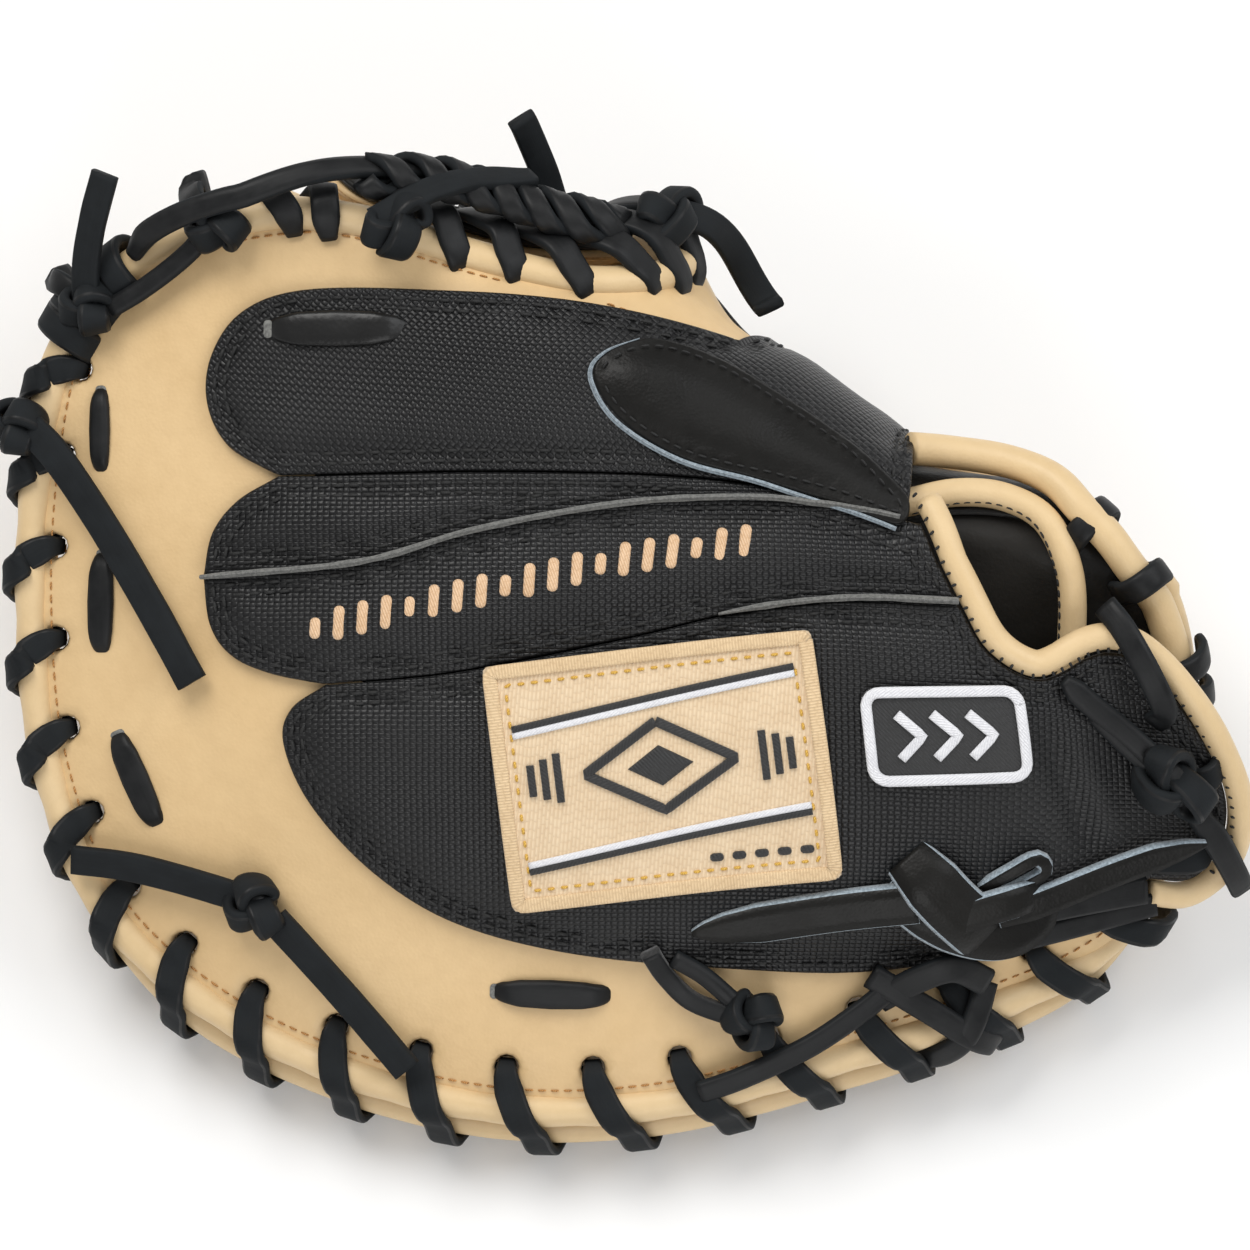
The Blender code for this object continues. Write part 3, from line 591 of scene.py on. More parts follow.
class Pile:
    """Meshes gathered into one piece."""

    def __init__(self):
        self.verts, self.faces, self.slots, self.uv, self.count = [], [], [], [], 0

    def add(self, verts, faces, slots=0, uv=None):
        verts = np.asarray(verts, float)
        self.verts.append(verts)
        self.faces.extend([[int(x) + self.count for x in face] for face in faces])
        self.slots.append(np.broadcast_to(np.asarray(slots), (len(faces),)))
        self.uv.append(np.zeros((len(verts), 2)) if uv is None else uv)
        self.count += len(verts)

    def piece(self, name, materials, replaces=(), **more):
        slots, uv = np.concatenate(self.slots), np.vstack(self.uv)
        made = piece(name, np.vstack(self.verts), self.faces, materials, slots, uv, **more)
        if replaces:
            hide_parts(*replaces)
        return made


def frames_along(path, across=None, closed=False):
    """For each point of a path: the direction ahead, a direction across it, and the third."""
    ahead = ahead_of(path, closed)
    if across is None:
        across = np.zeros_like(path)
        guess = np.array([0.31, 0.17, 0.93])
        guess = guess - ahead[0] * guess.dot(ahead[0])
        for k in range(len(path)):
            guess = guess - ahead[k] * guess.dot(ahead[k])
            guess = guess / np.linalg.norm(guess)
            across[k] = guess
    else:
        across = across - ahead * (across * ahead).sum(axis=1, keepdims=True)
        across = across / np.maximum(np.linalg.norm(across, axis=1, keepdims=True), 1e-9)
    return ahead, across, np.cross(ahead, across)


def ring_faces(rows, columns, closed_rows=False):
    """Faces between rows of points, where each row is closed."""
    last = rows if closed_rows else rows - 1
    i, j = np.meshgrid(np.arange(last), np.arange(columns), indexing="ij")
    i, j = i.ravel(), j.ravel()
    here, ahead = i * columns, ((i + 1) % rows) * columns
    beside = (j + 1) % columns
    return np.stack([here + j, here + beside, ahead + beside, ahead + j], axis=1)


def sweep(pile, path, section, across=None, closed=False, scale=None, slots=None):
    """A section (points as (across, out) in metres) carried along a path and added to a pile."""
    path = np.asarray(path, float)
    section = np.asarray(section, float)
    _, side, out = frames_along(path, across, closed)
    grow = np.ones((len(path), 1)) if scale is None else np.asarray(scale, float).reshape(len(path), -1)
    n, m = len(path), len(section)
    wide, thick = grow[:, None, :1], grow[:, None, -1:]
    sideways = section[None, :, :1] * side[:, None] * wide
    outwards = section[None, :, 1:] * out[:, None] * thick
    verts = (path[:, None] + sideways + outwards).reshape(-1, 3)
    along = np.concatenate([[0], np.cumsum(np.linalg.norm(np.diff(path, axis=0), axis=1))])
    around = np.concatenate([[0], np.cumsum(np.linalg.norm(np.diff(section, axis=0), axis=1))])
    uv = np.stack(np.meshgrid(along, around, indexing="ij"), axis=-1).reshape(-1, 2)
    faces = ring_faces(n, m, closed)
    kinds = np.zeros(m, int) if slots is None else np.asarray(slots)
    faces, kinds = faces.tolist(), kinds[np.arange(len(faces)) % m]
    if not closed:
        verts = np.vstack([verts, path[0], path[-1]])
        uv = np.vstack([uv, uv[0], uv[-1]])
        first, last, base = n * m, n * m + 1, (n - 1) * m
        faces += [[first, (k + 1) % m, k] for k in range(m)]
        faces += [[last, base + k, base + (k + 1) % m] for k in range(m)]
        kinds = np.concatenate([kinds, np.full(2 * m, kinds.max())])
    pile.add(verts, faces, kinds, uv)


def round_section(radius, sides=14):
    angle = np.arange(sides) * 2 * math.pi / sides
    return np.stack([radius * np.cos(angle), radius * np.sin(angle)], axis=1)


def flat_section(width, thick, soft=0.32):
    """A flat strip's section with rounded edges, and which of its sides are cut edges."""
    w, t = width / 2, thick / 2
    r = thick * soft
    points = [
        (w - r, -t), (w - r * 0.3, -t + r * 0.3), (w, -t + r), (w, t - r), (w - r * 0.3, t - r * 0.3),
        (w - r, t),
        (w * 0.35, t * 1.06), (-w * 0.35, t * 1.06), (-w + r, t), (-w + r * 0.3, t - r * 0.3), (-w, t - r),
        (-w, -t + r), (-w + r * 0.3, -t + r * 0.3), (-w + r, -t),
    ]
    edge = [0, 1, 1, 1, 0, 0, 0, 0, 0, 1, 1, 1, 0, 1]
    return np.array(points), edge


def thong_section(width, thick):
    """A flat strip whose cut edges slope, so that the pale middle of the leather shows."""
    w, t, slope = width / 2, thick / 2, 0.75 * MM
    points = [(w, -t), (w - slope, t), (w * 0.3, t * 1.1), (-w * 0.3, t * 1.1), (slope - w, t), (-w, -t)]
    return np.array(points), [1, 0, 0, 0, 1, 0]


def resampled(points, distance):
    return spaced(smooth(points, 8), distance)


def wave(u, s, scale, seed=0.0):
    """Smooth noise from -1 to 1 over the pattern."""
    u, s = np.broadcast_arrays(u, s)
    flat = [noise.noise(Vector((a / scale, b / scale, seed))) for a, b in zip(u.ravel(), s.ravel())]
    return np.array(flat).reshape(u.shape)


def plate(
    name, outline, low, high, material, spacing=2.6, edge=0.9, holes=(), hole_radius=2.6, relief=None,
    rim_material=None, body="fingers", slot=None, replaces=(),
):
    """A sheet of leather with rounded edges, cut to an outline of the pattern and folded.

    low and high are its faces above the back, as numbers or functions of (u, s). relief(u, s, away) raises
    its upper face, where away is the distance from the edge.
    """
    outline = spaced(outline, spacing * 0.55, True)
    if area(outline) < 0:
        outline = outline[::-1]
    rings = []
    for depth in (0.3 * edge, 0.95 * edge):
        ring = inset(outline, -depth, True)
        keep = (distance_to(ring, outline) > depth * 0.9) & inside(ring, outline)
        rings.append(ring[keep])
    low_corner, far = outline.min(axis=0), outline.max(axis=0)
    us = np.arange(low_corner[0], far[0], spacing)
    ss = np.arange(low_corner[1], far[1], spacing * 0.866)
    grid = np.stack(np.meshgrid(us, ss, indexing="ij"), axis=-1)
    grid[:, 1::2, 0] += spacing / 2
    grid = grid.reshape(-1, 2)
    grid = grid[inside(grid, outline)]
    grid = grid[distance_to(grid, outline) > edge + spacing * 0.35]
    angle = np.arange(12) * math.pi / 6
    circle = np.stack([np.cos(angle), np.sin(angle)], axis=1)
    loops, collars = [], []
    for hole in holes:
        loops.append(np.asarray(hole) + circle * hole_radius)
        collars.append(np.asarray(hole) + circle * (hole_radius + 0.9))
        grid = grid[np.linalg.norm(grid - hole, axis=1) > hole_radius + 1.8]
    points = np.vstack([outline, *loops, *collars, *rings, grid])
    edges, first = [], 0
    for loop in [outline, *loops]:
        n = len(loop)
        edges += [(first + k, first + (k + 1) % n) for k in range(n)]
        first += n
    made = geometry.delaunay_2d_cdt([Vector(p) for p in points.tolist()], edges, [], 1, 1e-5)
    flat = np.array([tuple(v) for v in made[0]])
    triangles = np.array([list(f) for f in made[2]])
    middle = flat[triangles].mean(axis=1)
    for hole in holes:
        outside = np.linalg.norm(middle - hole, axis=1) > hole_radius * 0.97
        triangles, middle = triangles[outside], middle[outside]
    a, b, c = (flat[triangles[:, k]] for k in range(3))
    turn = (b[:, 0] - a[:, 0]) * (c[:, 1] - a[:, 1]) - (b[:, 1] - a[:, 1]) * (c[:, 0] - a[:, 0])
    triangles[turn < 0] = triangles[turn < 0][:, ::-1]
    used = np.unique(triangles)
    lookup = np.full(len(flat), -1)
    lookup[used] = np.arange(len(used))
    flat, triangles = flat[used], lookup[triangles]
    u, s = flat.T
    away = distance_to(flat, outline)
    for hole in holes:
        away = np.minimum(away, np.abs(np.linalg.norm(flat - hole, axis=1) - hole_radius))
    low_n = low(u, s) if callable(low) else np.full(len(u), float(low))
    high_n = high(u, s) if callable(high) else np.full(len(u), float(high))
    round_off = edge * (1 - np.sqrt(np.clip(1 - (1 - np.clip(away / edge, 0, 1)) ** 2, 0, 1)))
    lift = relief(u, s, away) if relief else 0.0
    top = place(u, s, high_n - round_off + lift)
    bottom = place(u, s, low_n + np.minimum(round_off, (high_n - low_n) * 0.45))
    n = len(flat)
    sides = np.vstack([triangles[:, [0, 1]], triangles[:, [1, 2]], triangles[:, [2, 0]]])
    keys = np.sort(sides, axis=1)
    _, index, count = np.unique(keys, axis=0, return_inverse=True, return_counts=True)
    border = sides[count[index.reshape(-1)] == 1]
    faces = triangles.tolist() + (triangles[:, ::-1] + n).tolist()
    faces += [[int(q), int(p), int(p) + n, int(q) + n] for p, q in border]
    slots = np.zeros(len(faces))
    slots[2 * len(triangles) :] = 1 if rim_material else 0
    materials = [material, rim_material or material]
    uv = np.vstack([flat, flat]) * MM
    made = piece(name, np.vstack([top, bottom]), faces, materials, slots, uv, body, slot)
    if replaces:
        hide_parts(*replaces)
    return made


STITCH_RINGS = [(-0.5, 0.35, -0.35), (-0.36, 0.9, 0.5), (0.0, 1.0, 0.8), (0.36, 0.9, 0.5), (0.5, 0.35, -0.35)]
STITCH_SIDES = 6
STITCH_RISE = 0.32


def stitch_row(pile, line, height, length=3.0, gap=1.1, width=0.75, closed=False):
    """Stitches laid along a line of the pattern, at a height above the back."""
    line = spaced(smooth(line, 4, closed) if len(line) < 60 else line, 0.5, closed)
    pitch = int(round((length + gap) / 0.5))
    centres = np.arange(pitch // 2, len(line) - pitch // 2, pitch)
    if not len(centres):
        return
    ahead = ahead_of(line, closed)[centres]
    u, s = line[centres].T
    n = height(u, s)
    middle = place(u, s, n)
    next_u, next_s = u + ahead[:, 0], s + ahead[:, 1]
    front = place(next_u, next_s, height(next_u, next_s))
    up = place(u, s, n + 1) - middle
    up /= np.linalg.norm(up, axis=1, keepdims=True)
    tangent = front - middle
    tangent -= up * (tangent * up).sum(axis=1, keepdims=True)
    tangent /= np.linalg.norm(tangent, axis=1, keepdims=True)
    side = np.cross(up, tangent)
    angle = np.arange(STITCH_SIDES) * 2 * math.pi / STITCH_SIDES
    template = np.array([
        (x * length, math.cos(a) * r * width / 2, math.sin(a) * r * width / 2 + lift * STITCH_RISE)
        for x, r, lift in STITCH_RINGS
        for a in angle
    ]) * MM
    verts = middle[:, None] + (
        template[None, :, :1] * tangent[:, None] + template[None, :, 1:2] * side[:, None]
        + template[None, :, 2:] * up[:, None]
    )
    faces = ring_faces(len(STITCH_RINGS), STITCH_SIDES)
    starts = np.arange(len(centres))[:, None, None] * len(template)
    pile.add(verts.reshape(-1, 3), (faces[None] + starts).reshape(-1, 4))


def back(extra):
    return lambda u, s: back_height(u, s) + extra


def palm(extra):
    return lambda u, s: palm_face(u, s) + extra


# ---- small parts drawn on the pattern ----
def across_line(line, heights):
    """For each point of a pattern line at its height: the direction to its left along the surface."""
    ahead = ahead_of(line)
    left = np.stack([-ahead[:, 1], ahead[:, 0]], axis=1)
    u, s = line.T
    return place(u + left[:, 0], s + left[:, 1], heights) - place(u, s, heights)


def lay_strip(pile, points, width, thick, distance=1.5, taper=None, soft=0.32, sloped=False):
    """A flat strip along (u, s, n) points, lying along the mitt's surface. taper is (share, width) pairs."""
    line = resampled(np.array(points, float), distance)
    size = width * MM, thick * MM
    section, cut = thong_section(*size) if sloped else flat_section(*size, soft)
    scale = None
    if taper is not None:
        share = np.linspace(0, 1, len(line))
        scale = np.stack([np.interp(share, *np.array(taper, float).T), np.ones(len(line))], axis=1)
    across = across_line(line[:, :2], line[:, 2])
    sweep(pile, place(*line.T), section, across, scale=scale, slots=cut)


RAISED_RINGS = ((1.0, -0.3), (0.93, 0.6), (0.75, 0.9), (0.35, 1.0))  # share of the shape, share of the rise


def raised(pile, shape, base, rise):
    """A small rounded patch of thread over a convex shape of the pattern."""
    shape = spaced(np.asarray(shape, float), 0.6, True)
    centre = shape.mean(axis=0)
    flat = [centre + (shape - centre) * share for share, _ in RAISED_RINGS]
    rings = [place(*ring.T, base(*ring.T) + lift * rise) for ring, (_, lift) in zip(flat, RAISED_RINGS)]
    m = len(shape)
    middle = place(*centre, base(*centre) + rise)
    faces = ring_faces(len(rings), m).tolist()
    faces += [[3 * m + k, 3 * m + (k + 1) % m, 4 * m] for k in range(m)]
    pile.add(np.vstack([*rings, middle[None]]), faces, 0, np.vstack([*flat, centre[None]]) * MM)


def turned(points, centre, turn):
    c, k = math.cos(turn), math.sin(turn)
    x, y = np.asarray(points, float).T
    return np.stack([x * c - y * k, x * k + y * c], axis=1) + centre


def oblong(width, height, corner, parts=5):
    """A rectangle with rounded corners round the origin."""
    angle = np.linspace(0, math.pi / 2, parts)
    places = []
    for k, (x, y) in enumerate(((1, 1), (-1, 1), (-1, -1), (1, -1))):
        at = (x * (width / 2 - corner), y * (height / 2 - corner))
        a = angle + k * math.pi / 2
        places.append(np.stack([at[0] + corner * np.cos(a), at[1] + corner * np.sin(a)], axis=1))
    return np.vstack(places)


def overhand(pile, centre, radii, turn=0.0, width=5.0, thick=2.8, tilt=0.0):
    """A tight knot of flat lace, over the mitt's back at (u, s, height)."""
    t = np.linspace(0, 2 * math.pi, 90, endpoint=False)
    x, y, z = np.sin(t) + 2 * np.sin(2 * t), np.cos(t) - 2 * np.cos(2 * t), -1.35 * np.sin(3 * t)
    shape = np.stack([x, y, z], axis=1)
    shape *= np.array(radii) / (3.0, 3.0, 1.35)
    c, k = math.cos(turn), math.sin(turn)
    x, y, z = shape.T
    x, y = x * c - y * k, x * k + y * c
    c, k = math.cos(tilt), math.sin(tilt)
    x, z = x * c - z * k, x * k + z * c
    u, s, above = centre
    path = place(u + x, s + y, back_height(u, s) + above + z)
    middle = path.mean(axis=0)
    up = place(u, s, back_height(u, s) + above + 5) - place(u, s, back_height(u, s) + above)
    out = path - middle + up * 0.2
    across = np.cross(ahead_of(path, True), out)
    section, cut = flat_section(width * MM, thick * MM, 0.4)
    sweep(pile, path, section, across, True, slots=cut)
    a, b = np.meshgrid(np.linspace(0, math.pi, 7), np.arange(10) * math.pi / 5, indexing="ij")
    core = np.stack([np.sin(a) * np.cos(b), np.sin(a) * np.sin(b), np.cos(a)], axis=-1).reshape(-1, 3)
    core = core * np.array(radii) * (0.72, 0.72, 0.95)  # fills the knot's middle
    verts = place(u + core[:, 0], s + core[:, 1], back_height(u, s) + above + core[:, 2])
    pile.add(verts, ring_faces(7, 10))


def wrap(pile, centre, ahead, radius, first, last, width, thick, slant):
    """A flat lace wound round a rolled edge at (u, s, n), from one angle over its top to another.

    ahead is the roll's direction (du, ds); the angles are in degrees from its left side, over its top.
    """
    angle = np.radians(np.linspace(first, last, 26))
    du, ds = np.array(ahead, float) / math.hypot(*ahead)
    share = np.linspace(-0.5, 0.5, len(angle))
    reach = (radius + thick / 2 + 0.2) * np.ones(len(angle))
    along = slant * share
    u = centre[0] + du * along - ds * reach * np.cos(angle)
    s = centre[1] + ds * along + du * reach * np.cos(angle)
    n = centre[2] + reach * np.sin(angle)
    path = place(u, s, n)
    across = place(u + du, s + ds, n) - place(u, s, n)
    section, cut = flat_section(width * MM, thick * MM, 0.4)
    sweep(pile, path, section, across, slots=cut)


FINGER_LINE = spaced(smooth(FINGER_RIM, 8), 1.0)
THUMB_LINE = spaced(smooth(THUMB_RIM, 8), 1.0)


def rim_at(line, along, depth):
    """Points of the pattern at a distance along a rim, moved into the mitt."""
    moved = inset(line, 1.0) - line
    at = np.clip(along, 0, len(line) - 1.001)
    k = at.astype(int)
    t = (at - k)[:, None]
    inwards = moved[k] * (1 - t) + moved[k + 1] * t
    return line[k] * (1 - t) + line[k + 1] * t + inwards * np.reshape(depth, (-1, 1))


# ---- camera: square on to the back of the finger half ----
camera = bpy.data.cameras.new("camera")
SENSOR, DISTANCE, SEEN_WIDTH = 36, 2.4, 0.2875
camera.sensor_width = SENSOR
camera.lens = SENSOR * DISTANCE / SEEN_WIDTH
camera_object = bpy.data.objects.new("camera", camera)
bpy.context.scene.collection.objects.link(camera_object)
camera_object.rotation_euler = (REST_TILT, 0, 0)
toward = Vector((0, -math.sin(REST_TILT), math.cos(REST_TILT)))
looked_at = Vector((0.0004, 0.0016, 0.0756))
camera_object.location = looked_at + toward * DISTANCE
bpy.context.scene.camera = camera_object


# ---- free ends of lace ----
def along_surface(line):
    return across_line(line[:, :2], line[:, 2])


def along_length(line):
    return place(line[:, 0] + 1, line[:, 1], line[:, 2]) - place(*line.T)


def level(line):
    return np.cross(np.gradient(place(*line.T), axis=0), (0, 0, 1))


# name, node it replaces, (u, s, n) points with n over the leather, width, thickness, leather, its width's way
TAILS = [
    (
        "tip_tail", "tip_lace_tail", [(-122, 81, 7), (-121, 90, 9), (-119, 101, 10), (-116.5, 112, 10)],
        6.6, 2.4, SUEDE, along_surface,
    ), (
        "web_tail", "web_lace_tail",
        [(-58.5, 96.5, 10.5), (-50, 99, 13.8), (-40, 101, 14.8), (-25.5, 102.5, 14.5)],
        6.2, 2.6, SUEDE, along_surface,
    ), (
        "side_tail", "side_lace_tail",
        [(-134, 51, 9), (-128, 44, 8), (-118.5, 28, 4.8), (-107, 8, 4.2), (-98.5, -7, 4.4)],
        7.4, 2.6, SUEDE, along_surface,
    ), (
        "heel_tail", "heel_lace_tail", [(-80, -61, 5), (-73, -69, 4.4), (-62, -81.5, 4.2), (-49.5, -95, 6.5)],
        7.0, 2.8, SUEDE, along_surface,
    ), (
        "corner_tail", "corner_lace_tail",
        [(-88, -56, 4.8), (-102, -52, 4.6), (-114, -49, 5.2), (-125.5, -47, 7.5)],
        6.8, 2.6, SUEDE, along_surface,
    ), (
        "thumb_tail", None, [(6, 99, 8), (12.5, 101, 9.5), (19, 103, 10), (25.5, 101, 10), (27.5, 97, 9.5)],
        7.0, 2.6, SUEDE, level,
    ), (
        "rear_tail", None, [(-18, 114, 5), (-21.5, 112.5, 12), (-26, 111.5, 18.5), (-31.5, 110.5, 24.5)],
        6.6, 2.4, SUEDE, along_length,
    ), (
        "padding_tail", "padding_lace_tail", [(24, -83, 5), (15, -80, 3.2), (9, -74, 3.4), (5.5, -68, 5.4)],
        4.6, 2.8, LACE, along_surface,
    ),
]
for name, replaced, points, width, thick, leather_kind, way in TAILS:
    pile = Pile()
    line = resampled(np.array(points, float), 1.2)
    line[:, 2] += back_height(line[:, 0], line[:, 1])
    share = np.linspace(0, 1, len(line))
    sway = 0.35 * np.array([noise.noise(Vector((x * 6, len(name), 0.3))) for x in share])
    up = place(line[:, 0], line[:, 1], line[:, 2] + 1) - place(*line.T)
    section, cut = flat_section(width * MM, thick * MM, 0.25)
    world = place(*line.T)
    sweep(pile, world, section, way(line) + up * sway[:, None] * 0.5, slots=cut)
    cord = pile.piece(
        name, [leather_kind, DARK_EDGE if leather_kind is LACE else SUEDE], [replaced] if replaced else (),
        body="fingers" if replaced else "both", slot="black_lace",
    )
    along = float(np.linalg.norm(np.diff(world, axis=0), axis=1).sum())


# ---- the shell ----
HOLE_DEPTH = 14.0  # from the edge to the lace holes
PALM_SHIFT = 3.2  # the palm's holes lie this much nearer the edge
holes_at = np.linspace(52, 520, 22)
hole_depth = np.interp(holes_at, [0, 270, 305, 460, 520], [HOLE_DEPTH, HOLE_DEPTH, HOLE_DEPTH, 9.8, 9.8])
FINGER_HOLES = rim_at(FINGER_LINE, holes_at, hole_depth)
PALM_HOLES = rim_at(FINGER_LINE, holes_at, hole_depth - PALM_SHIFT)
thumb_at = np.linspace(148, 328, 9)
thumb_depth = np.full(len(thumb_at), HOLE_DEPTH)
THUMB_HOLES = rim_at(THUMB_LINE, thumb_at, thumb_depth)


def spread(s):
    """How much further the palm's rolled edge stands out, along the little finger's side."""
    return 6.0 * step(-np.asarray(s, float), 45, 90)


SHELL = fair(inset(RIM, 5.6 - spread(RIM[:, 1]), True), 8)

def soft_wrinkles(u, s):
    """Broad dents of worked leather, with finer ones over them."""
    return 0.55 * wave(u, s, 38, 3.1) + 0.22 * wave(u, s, 13, 7.7)


plate(
    "palm_leather", SHELL, palm(0), palm(2.2), CREAM, spacing=3.4, holes=[*PALM_HOLES[2:], *THUMB_HOLES],
    hole_radius=3.1, body="both", slot="cream_leather",
    replaces=("finger_palm_leather", "thumb_palm_leather"),
)

BARE = 106  # how far along the finger edge the back leather starts
THUMB_MOUTH = [(81, 90), (84, 80), (81, 70), (74, 63), (66, 60)]
back_edge = fair(inset(RIM, 5.6, True), 8)
first = nearest(back_edge, rim_at(FINGER_LINE, np.array([float(BARE)]), np.array([5.6]))[0])
back_edge = np.roll(back_edge, -first, axis=0)
back_edge = back_edge[: nearest(back_edge, (80, 93))]
back_outline = np.vstack([back_edge, smooth(THUMB_MOUTH, 4), (60, 58), (45, 62), smooth(BAND_INNER, 5)])
back_holes = [h for h, a in zip(FINGER_HOLES, holes_at) if a > BARE + 9]
plate(
    "back_leather", back_outline, back(-2.2), back(0), CREAM, spacing=2.4, holes=[*back_holes, *THUMB_HOLES],
    hole_radius=2.9, relief=lambda u, s, away: soft_wrinkles(u, s) * np.clip(away / 8, 0, 1),
    body="both", slot="cream_leather", rim_material=CREAM_EDGE,
    replaces=("back_band", "thumb_back_leather"),
)


# ---- rolled edges ----
def wrist_lift(u, s):
    """The back's rolled edge stands higher where it crosses from the heel to the thumb."""
    return 4.5 * step(u, 50, 66) * step(s, 12, 38) * (1 - step(s, 55, 61))


def rolled(name, line, depth, height, replaces, closed=True):
    """A rolled edge along a line of the pattern, pinched where laces hold it."""
    path = fair(spaced(inset(line, depth, closed), 1.6, closed), 3, closed)
    u, s = path.T
    n = np.full(len(u), float(height)) + (wrist_lift(u, s) if height > -2 else 0)
    pinch = np.zeros(len(path))
    for at in pinch_places:
        pinch = np.maximum(pinch, np.exp(-((np.linalg.norm(path - at, axis=1) / 4.2) ** 2)))
    grow = 1 + 0.03 * wave(u, s, 9, height) - 0.09 * pinch
    pile = Pile()
    sweep(pile, place(u, s, n), round_section(ROLL_RADIUS * MM, 20), None, closed, grow)
    pile.piece(name, [CREAM_ROLL], replaces, body="both", slot="cream_leather")


ROLL_RADIUS = 3.9
PINCH_DEPTH = 4.0
pinch_places = [
    *rim_at(FINGER_LINE, holes_at + 5, np.full(len(holes_at), PINCH_DEPTH)),
    *rim_at(THUMB_LINE, thumb_at + 5, np.full(len(thumb_at), PINCH_DEPTH)),
]
rolled("palm_rolled_edge", RIM, 2.7 - spread(RIM[:, 1]), -8.5, ("finger_palm_roll", "thumb_palm_roll"))
WRIST_SIDE = [(64, 53), (74, 54.5), (85, 53), (95, 49), (102, 44), (107, 37.5)]
MOUTH_SIDE = [(92, 82), (91, 72), (85, 64), (76, 59), (66, 57)]
back_rim = WRIST_SIDE + FINGER_RIM[1:-3] + CROTCH + THUMB_RIM[2:-4] + MOUTH_SIDE
back_rim = spaced(smooth(back_rim, 8), 1.0)
rolled("back_rolled_edge", back_rim, 4.2, -0.5, ("finger_back_roll", "thumb_back_roll"), closed=False)

# the row of gold thread beside the rolled edge
pile = Pile()
for line, first, last in ((FINGER_LINE, BARE, len(FINGER_LINE) - 4), (THUMB_LINE, 12, 330)):
    row = rim_at(line, np.arange(first, last, 0.5), 9.3)
    at_crotch = (np.abs(row[:, 0] - 6) < 34) & (row[:, 1] > 80)  # the thread stops there
    for part in pieces_of(row, np.diff(at_crotch), 8):
        if not (abs(part[3, 0] - 6) < 34 and part[3, 1] > 80):
            stitch_row(pile, part, back(0.1), 2.0, 1.0, 0.5)
    row = rim_at(line, np.arange(20 if line is FINGER_LINE else 12, last, 0.5), 8.6)
    stitch_row(pile, row, palm(-0.1), 2.3, 1.0, 0.55)
pile.piece("edge_stitching", [GOLD_THREAD], body="both")


# ---- back panels ----
def panel_relief(u, s, away):
    """Puffed a little inside its two rows of stitches, which pull it down."""
    puff = 1.5 * step(away, 0.5, 13)
    rows = 0.95 * np.exp(-(((away - 2.3) / 0.6) ** 2)) + 0.85 * np.exp(-(((away - 4.6) / 0.6) ** 2))
    return puff - rows + 0.35 * wave(u, s, 26, 1.7) * np.clip(away / 6, 0, 1)


def little_relief(u, s, away):
    """The panel's own relief, with a soft fold that runs down beside the badge."""
    over, down = (u - 93) * 0.931 + (s + 17) * 0.364, (u - 93) * 0.364 - (s + 17) * 0.931
    length = step(down, -9, 3) * step(-down, -34, -20)
    fold = 1.3 * np.exp(-(((over - 6) / 3.6) ** 2)) - 1.7 * np.exp(-((over / 3.2) ** 2))
    return panel_relief(u, s, away) + fold * length


PANEL_LOW, PANEL_HIGH = 0.5, 2.6


def panel(name, outline, material, replaces, body="fingers", relief=panel_relief):
    return plate(
        name, outline, back(PANEL_LOW), back(PANEL_HIGH), material, spacing=2.2, edge=0.7, relief=relief,
        rim_material=DARK_EDGE, body=body, slot="black_weave", replaces=replaces,
    )


index_line, middle_line, ring_line = (smooth(seam, 6) for seam in (INDEX_SEAM, MIDDLE_SEAM, RING_SEAM))
index_outline = np.vstack([smooth(INDEX_EDGE, 6)[:-1], index_line[:-1] + (0, 0.2), smooth(THUMB_SHELL, 6)])
panel("index_panel", index_outline, WEAVE_SLANT, ("index_finger_panel", "thumb_panel"), "both")
middle_outline = np.vstack([
    smooth(MIDDLE_EDGE, 6)[:-1], middle_line[:-6] + (0, 0.1), (index_line - (0, 0.2))[::-1][8:-1],
])
panel("middle_panel", middle_outline, WEAVE, ("middle_finger_panel",))
opening = smooth(OPENING_EDGE, 6)
ring_outline = np.vstack([
    smooth(RING_EDGE, 6)[:-1], ring_line[:-1] + (0, 0.2), opening[:-1],
    (middle_line - (0, 0.1))[::-1][:-1],
])
panel("ring_panel", ring_outline, WEAVE, ("ring_finger_panel",))
little_outline = np.vstack([
    smooth(LITTLE_EDGE, 6)[:-1], smooth(CUFF_EDGE, 6)[:-1], (ring_line - (0, 0.2))[::-1],
])
panel("little_panel", little_outline, WEAVE, ("little_finger_panel",), relief=little_relief)

# grey raw edges that stand up along two of the seams
pile = Pile()
welt_top = PANEL_HIGH + 1.0
for line, taper in (
    (middle_line[:-1], [(0, 0.8), (0.1, 1), (1, 1)]),
    (ring_line[-14:] + (0, 0.6), [(0, 0.4), (0.2, 1), (1, 1)]),
):
    line = spaced(line, 1.2)
    n = back_height(*line.T) + welt_top
    section, cut = flat_section(1.5 * MM, 2.6 * MM, 0.3)
    share = np.linspace(0, 1, len(line))
    width = np.interp(share, *np.array(taper).T)
    wobble = 1 + 0.18 * wave(line[:, 0], line[:, 1], 5, 2.2)
    scale = np.stack([width * wobble, wobble], axis=1)
    sweep(pile, place(*line.T, n), section, across_line(line, n), scale=scale)
pile.piece("seam_welts", [GREY_EDGE], ["finger_welt"], slot="grey_welt")

